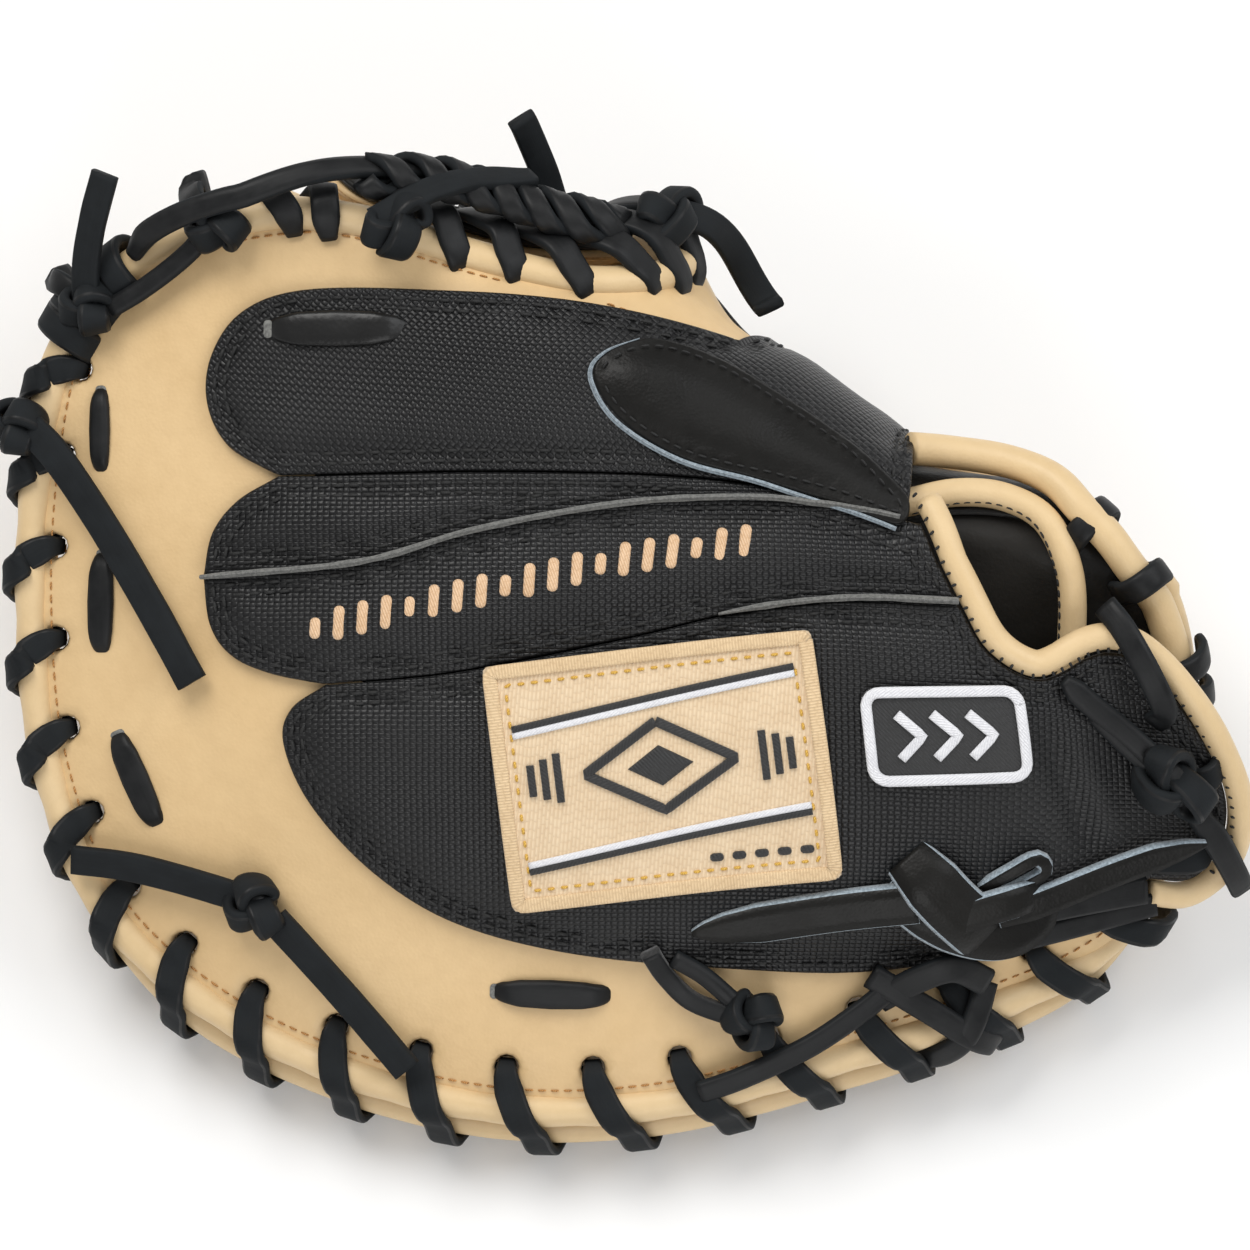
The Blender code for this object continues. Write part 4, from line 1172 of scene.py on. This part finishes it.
# black stitch rows
pile = Pile()
for outline in (index_outline, middle_outline, ring_outline, little_outline):
    closed = spaced(outline, 0.5, True)
    for depth in (2.3, 4.6):
        row = inset(fair(closed, 16), -depth if area(closed) > 0 else depth, True)
        over_fold = (np.abs(row[:, 0] - 36) < 13) & (np.abs(row[:, 1] - 89) < 11)
        row = row[(distance_to(row, closed) > depth * 0.93) & ~over_fold]
        for part in pieces_of(row, jumps(row), 12):
            stitch_row(pile, part, back(PANEL_HIGH - 0.1), 2.6, 0.9, 0.85)
pile.piece("panel_stitching", [BLACK_THREAD], body="both")


# ---- finger pad ----
def pad_relief(u, s, away):
    return 1.1 * step(away, 1.0, 7) - 0.5 * np.exp(-(((away - 2.0) / 0.6) ** 2)) + 0.15 * wave(u, s, 20, 5.5)


pad_outline = smooth(FINGER_PAD, 6, True)
pad = plate(
    "index_pad", pad_outline, back(PANEL_HIGH + 0.3), back(PANEL_HIGH + 2.0), HIDE, spacing=1.9, edge=0.8,
    relief=pad_relief, rim_material=PALE_EDGE, body="both", slot="black_leather",
    replaces=("index_finger_pad",),
)
pile = Pile()
row = drawn_in(fair(spaced(pad_outline, 0.5, True), 6), 2.0)
stitch_row(pile, row, back(PANEL_HIGH + 2.35), 2.0, 0.9, 0.5)
pile.piece("index_pad_stitching", [BLACK_THREAD], body="both")
pile = Pile()
RAW_EDGE = [(2, 69.5), (-5.5, 67), (-8, 62.5), (-2.2, 52.4), (12.4, 43.4), (31, 38.4), (47, 32.9), (61, 27.4)]
raw = smooth(RAW_EDGE, 6)
raw = np.column_stack([raw, back_height(*raw.T) + PANEL_HIGH + 1.3])
lay_strip(pile, raw, 1.3, 1.5, taper=[(0, 0.2), (0.15, 0.9), (0.5, 1), (1, 0.8)], soft=0.4, distance=1.0)
pile.piece("index_pad_raw_edge", [PALE_EDGE, PALE_EDGE], body="both")


# ---- laces round the edge ----
LOOP = [  # how far past the holes' line, height, share of the way to the next hole, width
    (0.0, -4.2, 0.0, 0.55), (0.3, -0.9, 0.0, 0.62), (-1.2, 1.3, 0.01, 0.85),
    (-4.4, 2.0, 0.06, 1.0), (-7.4, 3.6, 0.13, 1.0), (-9.8, 4.9, 0.2, 1.0),
    (-12.4, 4.2, 0.28, 1.0), (-14.4, 1.6, 0.35, 1.0), (-15.3, -2.4, 0.41, 1.0),
    (-16.3, -6.8, 0.47, 1.0), (-15.6, -11.2, 0.53, 1.0), (-12.6, -13.8, 0.6, 1.0),
    (-8.6, -13.0, 0.7, 1.0), (-4.6, -10.9, 0.82, 1.0), (-1.4, -10.1, 0.93, 0.85),
    (0.0, -7.6, 1.0, 0.6),
]


def wind(name, line, at, depths, body, replaces):
    """One flat lace that winds round both rolled edges, in at one hole and out at the next."""
    places, widths, alongs = [], [], []
    for k, (start, end) in enumerate(zip(at[:-1], at[1:])):
        for back_off, height, share, width in LOOP:
            depth = depths[k] * (1 - share) + depths[k + 1] * share
            reach = HOLE_DEPTH + back_off
            if back_off > -8:
                reach = depth + back_off * (depth / HOLE_DEPTH)
            along = start + (end - start) * share
            where = rim_at(line, np.array([along]), np.array([reach]))[0]
            out = float(spread(where[1])) * min(1.0, -back_off / 12) * step(-height, -3, 5.5)
            if body == "fingers" and back_off > -6:
                out += PALM_SHIFT * step(-height, 3, 8)
            where = rim_at(line, np.array([along]), np.array([reach - out]))[0]
            fold = float(back_height(*where)) if height > -5 else 0.0
            places.append((*where, height + fold))
            widths.append(width)
            alongs.append(along)
    path = smooth(np.array(places), 3)
    width = np.interp(np.arange(len(path)) / 3, np.arange(len(widths)), widths)
    along = np.interp(np.arange(len(path)) / 3, np.arange(len(alongs)), alongs)
    u, s, n = path.T
    ahead = rim_at(line, along + 1, np.zeros(len(along))) - rim_at(line, along - 1, np.zeros(len(along)))
    across = place(u + ahead[:, 0], s + ahead[:, 1], n) - place(u - ahead[:, 0], s - ahead[:, 1], n)
    section, cut = flat_section(6.8 * MM, 2.3 * MM, 0.38)
    scale = np.stack([width, np.full(len(width), 1.0)], axis=1)
    pile = Pile()
    sweep(pile, place(u, s, n), section, across, scale=scale, slots=cut)
    pile.piece(name, [LACE, SUEDE], replaces, body=body, slot="black_lace")


finger_laces = tuple(f"finger_edge_lace_{k}" for k in range(1, 8))
thumb_laces = tuple(f"thumb_edge_lace_{k}" for k in range(1, 4))
wind("finger_edge_lacing", FINGER_LINE, holes_at[::-1], hole_depth[::-1], "fingers", finger_laces)
wind("thumb_edge_lacing", THUMB_LINE, thumb_at[::-1], thumb_depth, "thumb", thumb_laces)

# ---- laces that hold the padding, seen as short bars, with a slot at one end of each ----
BARS = {  # both ends (u, s), width, height over the leather, node it replaces, leather
    "index_pad_bar": ((-82, 74), (-50, 74), 8.6, 4.6, "index_pad_lace", SLICK),
    "tip_pad_bar": ((-121.5, 61), (-121.5, 41), 5.2, 0.8, "tip_pad_lace", LACE),
    "ring_pad_bar": ((-121, 23), (-121.5, -1), 6.6, 0.9, "ring_pad_lace", LACE),
    "corner_pad_bar": ((-118, -19), (-108.5, -41), 7.0, 0.9, "corner_pad_lace", LACE),
    "little_pad_bar": ((-31, -79), (-3, -80), 7.2, 0.9, "little_pad_lace", LACE),
}
slots_pile = Pile()
for name, (first, last, width, high, replaced, leather_kind) in BARS.items():
    t = np.linspace(0, 1, 9)
    a, b = np.array(first), np.array(last)
    line = a * (1 - t)[:, None] + b * t[:, None]
    n = back_height(*line.T) + high - 3.0 * np.abs(2 * t - 1) ** 6
    pile = Pile()
    lay_strip(
        pile, np.column_stack([line, n]), width, 2.6, distance=1.0, soft=0.45,
        taper=[(0, 0.25), (0.08, 0.6), (0.25, 0.92), (0.5, 1), (0.75, 0.92), (0.92, 0.66), (1, 0.34)],
    )
    pile.piece(name, [leather_kind, leather_kind], [replaced], slot="black_lace")
    ahead = (b - a) / np.linalg.norm(b - a)
    centre = a + ahead * 0.7
    turn = math.atan2(ahead[1], ahead[0])
    slot_base = back(PANEL_HIGH + 1.6 if high > 2 else 0.15)
    raised(slots_pile, turned(oblong(2.0, width * 0.5, 0.9), centre, turn), slot_base, 0.12)
slots_pile.piece("lace_slots", [GREY_EDGE])

# ---- the web, and the laces that tie it ----
web_outline = smooth(WEB, 6, True)
plate(
    "web_back", web_outline, -2.0, 0.2, HIDE, spacing=2.2,
    relief=lambda u, s, away: 0.3 * wave(u, s, 12, 9.1),
    body="both", slot="black_leather", replaces=("web_back_leather",), rim_material=DARK_EDGE,
)
plate(
    "web_palm", web_outline, -4.8, -2.6, CREAM, spacing=2.6, body="both", slot="cream_leather",
    replaces=("web_palm_leather",), rim_material=CREAM_EDGE,
)
pile = Pile()
fine = fair(spaced(web_outline, 0.5, True), 8)
for shrink in (3.0, 6.5):
    row = drawn_in(fine, shrink)
    row = row[distance_to(row, fine) > shrink * 0.93]
    for part in pieces_of(row, jumps(row), 12):
        stitch_row(pile, part, lambda u, s: np.full(np.shape(u), 0.5), 2.6, 1.0, 0.6)
pile.piece("web_stitching", [BLACK_THREAD], body="both")

# flat laces that run from slits in the back leather over its rolled edge to the web
pile = Pile()
WEB_LACES = [  # slit on the back leather, top of the rolled edge, the web
    ((-38, 90), (-43, 99), (-49, 108)), ((-25, 87), (-30, 96), (-38, 106)), ((-9, 83), (-17, 92), (-27, 103)),
    ((6, 86), (-4, 91), (-15, 99)), ((12, 89), (2, 94.5), (-9, 102)), ((14, 96), (5, 101), (-7, 106)),
]
for slit, top, far in WEB_LACES:
    (u0, s0), (u1, s1), (u2, s2) = slit, top, far
    d = np.array([u0 - u1, s0 - s1]) / math.hypot(u0 - u1, s0 - s1)
    points = [
        (u0 + d[0] * 0.8, s0 + d[1] * 0.8, -3.6), (u0 - d[0] * 0.2, s0 - d[1] * 0.2, 0.7),
        (u0 - d[0] * 2.4, s0 - d[1] * 2.4, 2.6), ((u0 + u1) / 2, (s0 + s1) / 2, 3.6),
        (u1, s1, 5.6), ((u1 + u2) / 2, (s1 + s2) / 2, 3.8), (u2, s2, 1.0),
        (u2 - d[0] * 3, s2 - d[1] * 3, -2.6),
    ]
    lay_strip(pile, points, 6.8, 2.6, 0.7, [(0, 0.7), (0.14, 0.88), (0.3, 1), (0.85, 1), (1, 0.7)])
# and from the web to the thumb's edge
for k, u in enumerate(np.linspace(-14, -52, 5)):
    far = np.interp(u, [-66, -30, 8], [147, 129, 104])
    points = [
        (u, far - 13, -2.4), (u - 1, far - 11, 1.2), (u - 3, far - 5, 3.4), (u - 5, far + 3, 4.4),
        (u - 6, far + 9, 1.8), (u - 6.5, far + 12, -2.0),
    ]
    lay_strip(pile, points, 5.8, 2.4, taper=[(0, 0.6), (0.2, 1), (0.8, 1), (1, 0.5)], distance=1.0)
pile.piece("web_lacing", [LACE, SUEDE], body="both", slot="black_lace")

# the thick lace along the web's top, with the turns that wrap it
pile = Pile()
ROPE = [(-112, 92, 4), (-106, 98, 9.5), (-94, 103.5, 12), (-76, 107, 11.5), (-58, 107, 11), (-48, 107, 11)]
lay_strip(pile, ROPE, 5.8, 3.2, distance=1.2, taper=[(0, 0.7), (0.1, 1), (1, 1)], soft=0.42)
spine = [(-62, 105, 11.0), (-48, 104, 12), (-34, 101, 11.5), (-22, 98, 10), (-10, 96, 7), (-4, 98, 2)]
spine = spaced(smooth(spine, 8), 1.2)
TWISTS = 2.6
for phase in (0.0, 2.1, 4.2):
    along = np.linspace(0, 1, len(spine))
    angle = phase + along * 2 * math.pi * TWISTS
    line = spine.copy()
    ahead = ahead_of(spine[:, :2])
    left = np.stack([-ahead[:, 1], ahead[:, 0]], axis=1)
    line[:, :2] += left * (3.4 * np.cos(angle))[:, None]
    line[:, 2] += 2.6 * np.sin(angle)
    section, cut = flat_section(5.4 * MM, 2.8 * MM, 0.4)
    across = across_line(line[:, :2], line[:, 2])
    out = place(line[:, 0], line[:, 1], line[:, 2] + 1) - place(*line.T)
    turning = across * np.sin(angle)[:, None] - out * np.cos(angle)[:, None]
    sweep(pile, place(*line.T), section, turning, slots=cut)
pile.piece("web_rope", [LACE, SUEDE], ["web_rope_lace"], slot="black_lace")

# laces between knots, and the ones that come over the edge to them
pile = Pile()
lay_strip(pile, [(-117, 79, 5.5), (-109, 84, 5.4), (-100, 91, 6.0), (-93, 98, 8)], 4.8, 2.6, soft=0.45)
lay_strip(pile, [(-125, 82, 4), (-129, 85, 4.2), (-132, 86, 1), (-131, 87, -5)], 5.6, 2.6)
lay_strip(pile, [(-95, 101, 6), (-98, 104, 5.4), (-100, 106.5, 0), (-99, 107, -6)], 6.4, 2.6)
for points in (
    [(-76, 96, 0.5), (-77, 101, 4.6), (-80, 105, 4.4), (-82, 108, -1), (-80, 108, -8)],
    [(-68, 95, 0.5), (-69, 101, 4.6), (-70, 106, 4.4), (-70, 109, -1), (-72, 108, -8)],
):
    lay_strip(pile, points, 6.6, 2.5, taper=[(0, 0.6), (0.2, 1), (1, 1)])
corner_edge = inset(FINGER_LINE, 4.2)
for along, slant in ((529, 4.0), (536, -4.0), (549, 3.0)):
    ahead = corner_edge[along + 2] - corner_edge[along - 2]
    wrap(pile, (*corner_edge[along], -1.0), ahead, 5.0, 200, -40, 7.0, 2.5, slant)
lay_strip(pile, [(11, -70, 4.2), (18, -74, 4.6), (25, -80, 5)], 4.4, 2.8, soft=0.45)
pile.piece("edge_ties", [LACE, SUEDE], slot="black_lace")

# ---- wrist ----
lining_outline = smooth(LINING, 5, True)
plate(
    "hand_lining_leather", lining_outline, lambda u, s: hand_floor(u, s) - 1.5, hand_floor, LINING_HIDE,
    spacing=3.2,
    relief=lambda u, s, away: 1.3 * wave(u, s, 24, 4.4) + 0.5 * wave(u, s, 9, 6.4),
    slot="black_leather", replaces=("hand_lining",),
)
HEEL = [
    (61, 56), (72, 56), (84, 54), (95, 48.5), (102, 40), (110, 31), (119, 14), (125, -6), (126, -26),
    (123, -44), (116, -56), (104, -58), (101, -44), (101, -16), (104, 0), (104, 17), (97, 30), (86, 34),
    (74, 33.5), (61, 31),
]
plate(
    "heel_leather", smooth(HEEL, 5, True), -3.0, -1.2, HIDE, spacing=2.6,
    relief=lambda u, s, away: 0.5 * wave(u, s, 18, 2.9), slot="black_leather",
)


def bound(name, points, radius, replaced, distance=1.5):
    """A rolled edge along (u, s, n) points."""
    line = resampled(np.array(points, float), distance)
    grow = 1 + 0.035 * wave(line[:, 0], line[:, 1], 8, 1.1)
    pile = Pile()
    sweep(pile, place(*line.T), round_section(radius * MM, 20), None, False, grow)
    pile.piece(name, [CREAM_ROLL], [replaced], slot="cream_leather")
    return line


LIP = [
    (60, 33.5, 1), (66, 35, 1), (76, 38, 1.4), (87, 38, 1), (97, 32, 0.6), (102.5, 18, 0.6), (103, 2, 0.6),
    (101, -14, 0.6),
]
lip_line = bound("lining_rolled_edge", LIP, 3.3, "lining_binding")
cuff = smooth(CUFF_EDGE + OPENING_EDGE[1:] + [(61, 36)], 8)
cuff_out = inset(cuff, 3.6)
cuff_points = np.column_stack([cuff_out, back_height(*cuff_out.T) + 1.6])[1:-2:6]
bound("cuff_rolled_edge", cuff_points, 3.1, "cuff_binding", 1.3)

pile = Pile()
inner = inset(lip_line[:, :2], 3.2)
stitch_row(pile, fair(spaced(inner, 0.5), 6, False), lambda u, s: np.full(np.shape(u), 1.6), 1.8, 0.9, 0.6)
teeth = spaced(inset(cuff, 0.6)[12:-2], 2.6)
for (u, s), (du, ds) in zip(teeth, ahead_of(teeth)):
    tooth = np.array([(u + ds, s - du), (u - ds, s + du)])
    stitch_row(pile, tooth, back(PANEL_HIGH + 0.7), 1.5, 0.1, 0.7)
pile.piece("wrist_stitching", [BLACK_THREAD])

# ---- patches and embroidery ----
PATCH_LOW, PATCH_THICK = PANEL_HIGH + 1.7, 1.5


def patch_swell(u, s):
    return 0.5 * wave(u, s, 40, 8.2)


def on_patch(points, patch=PATCH):
    """Points round the origin, laid on the name patch or the badge."""
    return turned(points, patch[0], patch[2])


plate(
    "name_patch_cloth", on_patch(oblong(*PATCH[1], 1.2)), back(PATCH_LOW), back(PATCH_LOW + PATCH_THICK),
    PATCH_CLOTH, spacing=2.0, edge=0.7, slot="patch_cloth", replaces=("name_patch",),
    relief=lambda u, s, away: 0.45 * np.exp(-(((away - 1.6) / 1.3) ** 2)) + patch_swell(u, s),
)


def patch_top(u, s):
    return back_height(u, s) + PATCH_LOW + PATCH_THICK + patch_swell(u, s)


def sewn_line(pile, points, width, rise, kind=0, top=patch_top):
    """A line of embroidery; kind is its material's place in the piece's list."""
    line = spaced(np.asarray(points, float), 1.2)
    n = top(*line.T) + rise * 0.5 - 0.15
    section, _ = flat_section(width * MM, rise * MM, 0.45)
    sweep(pile, place(*line.T, n), section, across_line(line, n), slots=np.full(len(section), kind))


wide, tall = PATCH[1]
pile = Pile()
left, right = 5 - wide / 2, wide / 2 - 5
for low, high, shift in ((13.4, 20.4, 1.5), (-19.0, -12.0, -1.5)):
    sewn_line(pile, on_patch([(left, low), (right, high)]), 1.6, 0.9, 0)
    sewn_line(pile, on_patch([(left, low - shift), (right, high - shift)]), 1.6, 0.9, 1)
# a plain diamond with a smaller one inside, between two groups of bars
diamond = [(0, 11.5), (17, 1.5), (0, -8.5), (-17, 1.5), (0, 11.5)]
sewn_line(pile, on_patch(diamond), 2.3, 1.1, 0)
raised(pile, on_patch([(0, 6.2), (7.6, 1.5), (0, -3.2), (-7.6, 1.5)]), patch_top, 0.8)
for side in (-1, 1):
    for k, reach in enumerate((23, 26, 29)):
        sewn_line(pile, on_patch([(side * reach, 7 - k), (side * reach, -4 + k)]), 1.8, 0.9, 0)
for k in range(5):
    raised(pile, on_patch(oblong(3.2, 1.9, 0.8) + (10 + k * 5, -20.5)), patch_top, 0.7)
pile.piece("patch_embroidery", [BLACK_SATIN, WHITE_SATIN], slot="patch_cloth")

pile = Pile()
merrow = on_patch(oblong(wide - 3.0, tall - 3.0, 1.0))
sewn_line(pile, np.vstack([merrow, merrow[:2]]), 3.4, 1.1, 0)
pile.piece("patch_merrowed_border", [BORDER_SATIN], slot="patch_cloth")
pile = Pile()
border = spaced(on_patch(oblong(wide - 9.4, tall - 9.4, 0.8)), 0.5, True)
stitch_row(pile, border, patch_top, 1.7, 1.3, 0.75)
pile.piece("patch_border_stitching", [PATCH_THREAD])

BADGE_HIGH = PATCH_LOW + 1.1
plate(
    "badge_cloth", on_patch(oblong(*BADGE[1], 4.0), BADGE), back(PATCH_LOW - 0.1), back(BADGE_HIGH),
    BLACK_SATIN, spacing=1.8, edge=0.6, slot="patch_cloth", replaces=("cuff_badge",),
    rim_material=WHITE_SATIN,
)
badge_top = back(BADGE_HIGH)
pile = Pile()
ring = on_patch(oblong(BADGE[1][0] - 2.2, BADGE[1][1] - 2.2, 3.2, 8), BADGE)
sewn_line(pile, np.vstack([ring, ring[:2]]), 2.6, 1.2, 0, badge_top)
for k in range(3):
    chevron = np.array([(-2.5, 5), (2.5, 0), (-2.5, -5)]) + ((k - 1) * 7.5, 0)
    sewn_line(pile, on_patch(chevron, BADGE), 2.4, 0.9, 0, badge_top)
pile.piece("badge_embroidery", [WHITE_SATIN], slot="patch_cloth")

# a row of plain embroidered bars along the ring finger's panel
pile = Pile()
bar_line = spaced(smooth([(-70, 5.5), (-50, 10), (-25, 15.5), (0, 21), (27, 25)], 8), 5.4)
for k, (centre, ahead) in enumerate(zip(bar_line, ahead_of(bar_line))):
    turn = math.atan2(ahead[1], ahead[0]) - 0.28
    long = 8.2 if k % 4 else 5.2
    raised(pile, turned(oblong(2.7, long, 1.2), centre, turn), back(PANEL_HIGH + 0.75), 1.0)
pile.piece("panel_embroidery", [CREAM_SATIN], slot="patch_cloth")

# ---- the wide thong tied over the cuff ----
def over_back(points):
    """(u, s, n) points whose n is over the leather."""
    points = np.array(points, float)
    points[:, 2] += back_height(points[:, 0], points[:, 1])
    return points


KNOT_TAPER = [(0, 0.8), (0.25, 1), (0.75, 1), (1, 0.7)]
THONGS = {  # piece: node it replaces, then (u, s, n) points, width, taper and spacing for each strip
    "thong_left_blade": ("strap_left_end", [
        (
            [(15, -63.5, 4.8), (30, -61, 5.4), (48, -57.5, 6.4), (64, -54.5, 8.8)],
            10.5, [(0, 0.12), (0.05, 0.42), (0.14, 0.72), (0.3, 0.95), (1, 1)], 1.5,
        ),
    ]),
    "thong_right_blade": ("strap_right_end", [
        (
            [(82, -58, 8.3), (92, -54, 7.8), (108, -46.5, 7.8), (127, -37.5, 9.8)],
            7.8, [(0, 0.7), (0.15, 1), (0.75, 0.95), (0.9, 0.6), (1, 0.15)], 1.5,
        ),
    ]),
    "thong_knot": ("strap_knot", [
        (
            [(58, -52, 5.0), (64, -56, 6.6), (73, -61, 8.2), (83, -63, 7.4), (91, -60, 5.6), (93, -55, 4.2)],
            12.0, KNOT_TAPER, 1.2,
        ), (
            [
                (62, -44.5, 4.8), (66, -49, 9.0), (71, -54.5, 9.9), (77, -60, 9.5), (81, -63.5, 6.4),
                (82.5, -65, 4),
            ],
            14.5, KNOT_TAPER, 1.2,
        ), (
            [(93, -52, 4.6), (86, -53.5, 8.8), (78, -56, 9.9), (71, -59, 9.4), (66, -62, 6.4)],
            8.5, KNOT_TAPER, 1.2,
        ), (
            [(79, -52, 4.5), (84, -47.5, 6.5), (90, -44, 6.5), (92, -47.5, 6), (86, -52, 5), (80, -54, 4.5)],
            4.2, None, 1.5,
        ),
    ]),
}
for name, (replaced, strips) in THONGS.items():
    pile = Pile()
    for points, width, taper, distance in strips:
        thick = 1.9 if taper else 1.8
        lay_strip(pile, over_back(points), width, thick, distance, taper, sloped=True)
    pile.piece(name, [HIDE, PALE_EDGE], [replaced], slot="black_lace")

# ---- laces at the cuff and the heel ----
def tie(points, width, taper=None):
    """A lace over the leather, added to the pile in hand."""
    lay_strip(pile, over_back(points), width, 2.6, 1.2, taper, 0.42)


pile = Pile()
tie([(97, -2, 4.2), (103, -7, 4.6), (111, -13, 5.4), (118, -19, 7.5)], 5.6, [(0, 0.5), (0.12, 1), (1, 1)])
tie([(109, 14, 2.5), (113, 10, 6.5), (118, 2, 9.5), (121, -6, 7.5), (118.5, -10, 4.5)], 6.0)
tie([(104, -9, 4.0), (110, -15, 5.0), (116, -20, 6.5)], 5.0)
pile.piece("cuff_laces", [LACE, SUEDE], ["cuff_lace"], slot="black_lace")
pile = Pile()
tie([(125, -30, 6.5), (130, -37, 7.4), (135, -46, 6.6), (138, -51, 5.0)], 6.6, [(0, 0.7), (0.3, 1), (1, 0.9)])
tie([(88, -58.5, 3.6), (100, -55.5, 4.0), (116, -52, 4.4)], 7.0)
tie([(86, -66, 3.0), (100, -62, 3.2), (119, -56, 3.4)], 5.8)
tie([(17, -101, 4.4), (27, -97, 5.4), (42, -90, 5.2), (54, -82, 5.0), (60, -77, 5.0)], 5.6)
tie([(56, -74, 4.0), (63, -78, 6.0), (71, -83, 5.6), (79, -88, 5.6), (85, -91, 2.0), (86, -92, -4)], 6.2)
tie([(58, -80, 3.6), (66, -74, 7.0), (74, -71, 7.4), (82, -75, 6.0)], 6.8)
tie([(83, -76, 3), (80, -83, 5.8), (77, -89, 5.4), (73, -94, 1), (68, -97, -6)], 6.2)
pile.piece("heel_laces", [LACE, SUEDE], slot="black_lace")
pile = Pile()
wrist_edge = spaced(inset(FINGER_LINE, 4.2), 1.0)
for along, slant in ((5, 3.0), (24, 3.0), (47, 3.0), (53, -3.0)):
    ahead = wrist_edge[along + 2] - wrist_edge[along - 2]
    wrap(pile, (*wrist_edge[along], -1.5), ahead, 5.6, -25, 215, 6.2, 2.4, slant)
pile.piece("wrist_side_laces", [LACE, SUEDE], slot="black_lace")

# ---- knots ----
KNOTS = [  # name, node it replaces, (u, s, n) centre, radii, turn, the lace's width
    ("tip_overhand", "tip_knot", (-122, 79.5, 5.4), (5.0, 5.4, 3.0), 0.3, 7.4),
    ("second_tip_overhand", "middle_tip_knot", (-92.5, 99, 6.6), (5.2, 6.2, 3.2), 1.1, 7.6),
    ("web_overhand", "web_knot", (-53.5, 95, 10), (5.8, 4.8, 3.4), 0.2, 7.4),
    ("side_overhand", "side_knot", (-137.5, 51.5, 8), (5.4, 4.8, 3.2), 2.0, 7.2),
    ("corner_overhand", "corner_knot", (-84.5, -58, 5.2), (5.0, 6.6, 3.2), 0.7, 7.4),
    ("padding_overhand", "padding_knot", (29, -83.5, 5.6), (5.4, 5.6, 3.4), 0.0, 7.0),
    ("cuff_overhand", "cuff_knot", (120, -23, 8.5), (7.0, 8.6, 4.2), 0.9, 8.0),
    ("thumb_overhand", None, (3.5, 99, 6.5), (5.0, 4.8, 3.2), 0.4, 7.0),
]
for name, replaced, centre, radii, turn, width in KNOTS:
    pile = Pile()
    overhand(pile, centre, radii, turn, width, 2.8, 0.15)
    side = "fingers" if replaced else "both"
    pile.piece(name, [LACE, SUEDE], [replaced] if replaced else (), body=side, slot="black_lace")

# ---- felt padding, seen through the lace holes ----
felt_angle = np.arange(60) * math.pi / 30
felt_shape = np.stack([97 * np.cos(felt_angle) - 5, 57 * np.sin(felt_angle) - 16], axis=1)
fingers_felt = plate(
    "finger_felt", felt_shape, palm(4.0), lambda u, s: hand_floor(u, s) - 2.7, FELT, spacing=5.0, edge=3.0,
    slot="felt", replaces=("finger_padding",),
)
THUMB_FELT = [
    (58, 90), (44, 102), (22, 121), (0, 140), (-20, 150), (-34, 152), (-36, 149), (-22, 142), (-2, 130),
    (18, 115), (32, 100), (44, 86), (56, 80),
]
thumb_felt = plate(
    "thumb_felt", smooth(THUMB_FELT, 4, True), palm(4.0), -3.4, FELT, spacing=4.0, edge=2.0, body="thumb",
    slot="felt", replaces=("thumb_padding",),
)

# ---- floor and light ----
def studio_material(name, colour, rough):
    made = bpy.data.materials.new(name)
    made.use_nodes = True
    shader = made.node_tree.nodes["Principled BSDF"]
    shader.inputs["Base Color"].default_value = (*colour, 1)
    shader.inputs["Roughness"].default_value = rough
    return made


mesh = bpy.data.meshes.new("floor")
reach = 3.0
corners = [(-reach, -reach, 0), (reach, -reach, 0), (reach, reach, 0), (-reach, reach, 0)]
mesh.from_pydata(corners, [], [(0, 1, 2, 3)])
mesh.materials.append(studio_material("floor_paper", (0.93, 0.93, 0.93), 0.9))
floor = bpy.data.objects.new("floor", mesh)
bpy.context.scene.collection.objects.link(floor)
for name, place_at, size, power, colour in (
    ("key_softbox", (-0.55, 0.75, 1.5), 0.9, 17, (1.0, 0.985, 0.96)),
    ("fill_softbox", (0.95, 0.35, 1.15), 1.1, 9, (0.96, 0.98, 1.0)),
    ("front_softbox", (0.1, -1.3, 0.9), 1.1, 8, (1.0, 1.0, 1.0)),
):
    light = bpy.data.lights.new(name, "AREA")
    light.energy = power
    light.size = size
    light.color = colour
    made = bpy.data.objects.new(name, light)
    bpy.context.scene.collection.objects.link(made)
    made.location = place_at
    made.rotation_euler = (Vector((0, 0, 0.06)) - Vector(place_at)).to_track_quat("-Z", "Y").to_euler()
world = bpy.data.worlds.new("studio")
world.use_nodes = True
world.node_tree.nodes["Background"].inputs["Color"].default_value = (1.0, 1.0, 1.0, 1)
world.node_tree.nodes["Background"].inputs["Strength"].default_value = 0.38
bpy.context.scene.world = world
bpy.context.scene.view_settings.view_transform = "Standard"
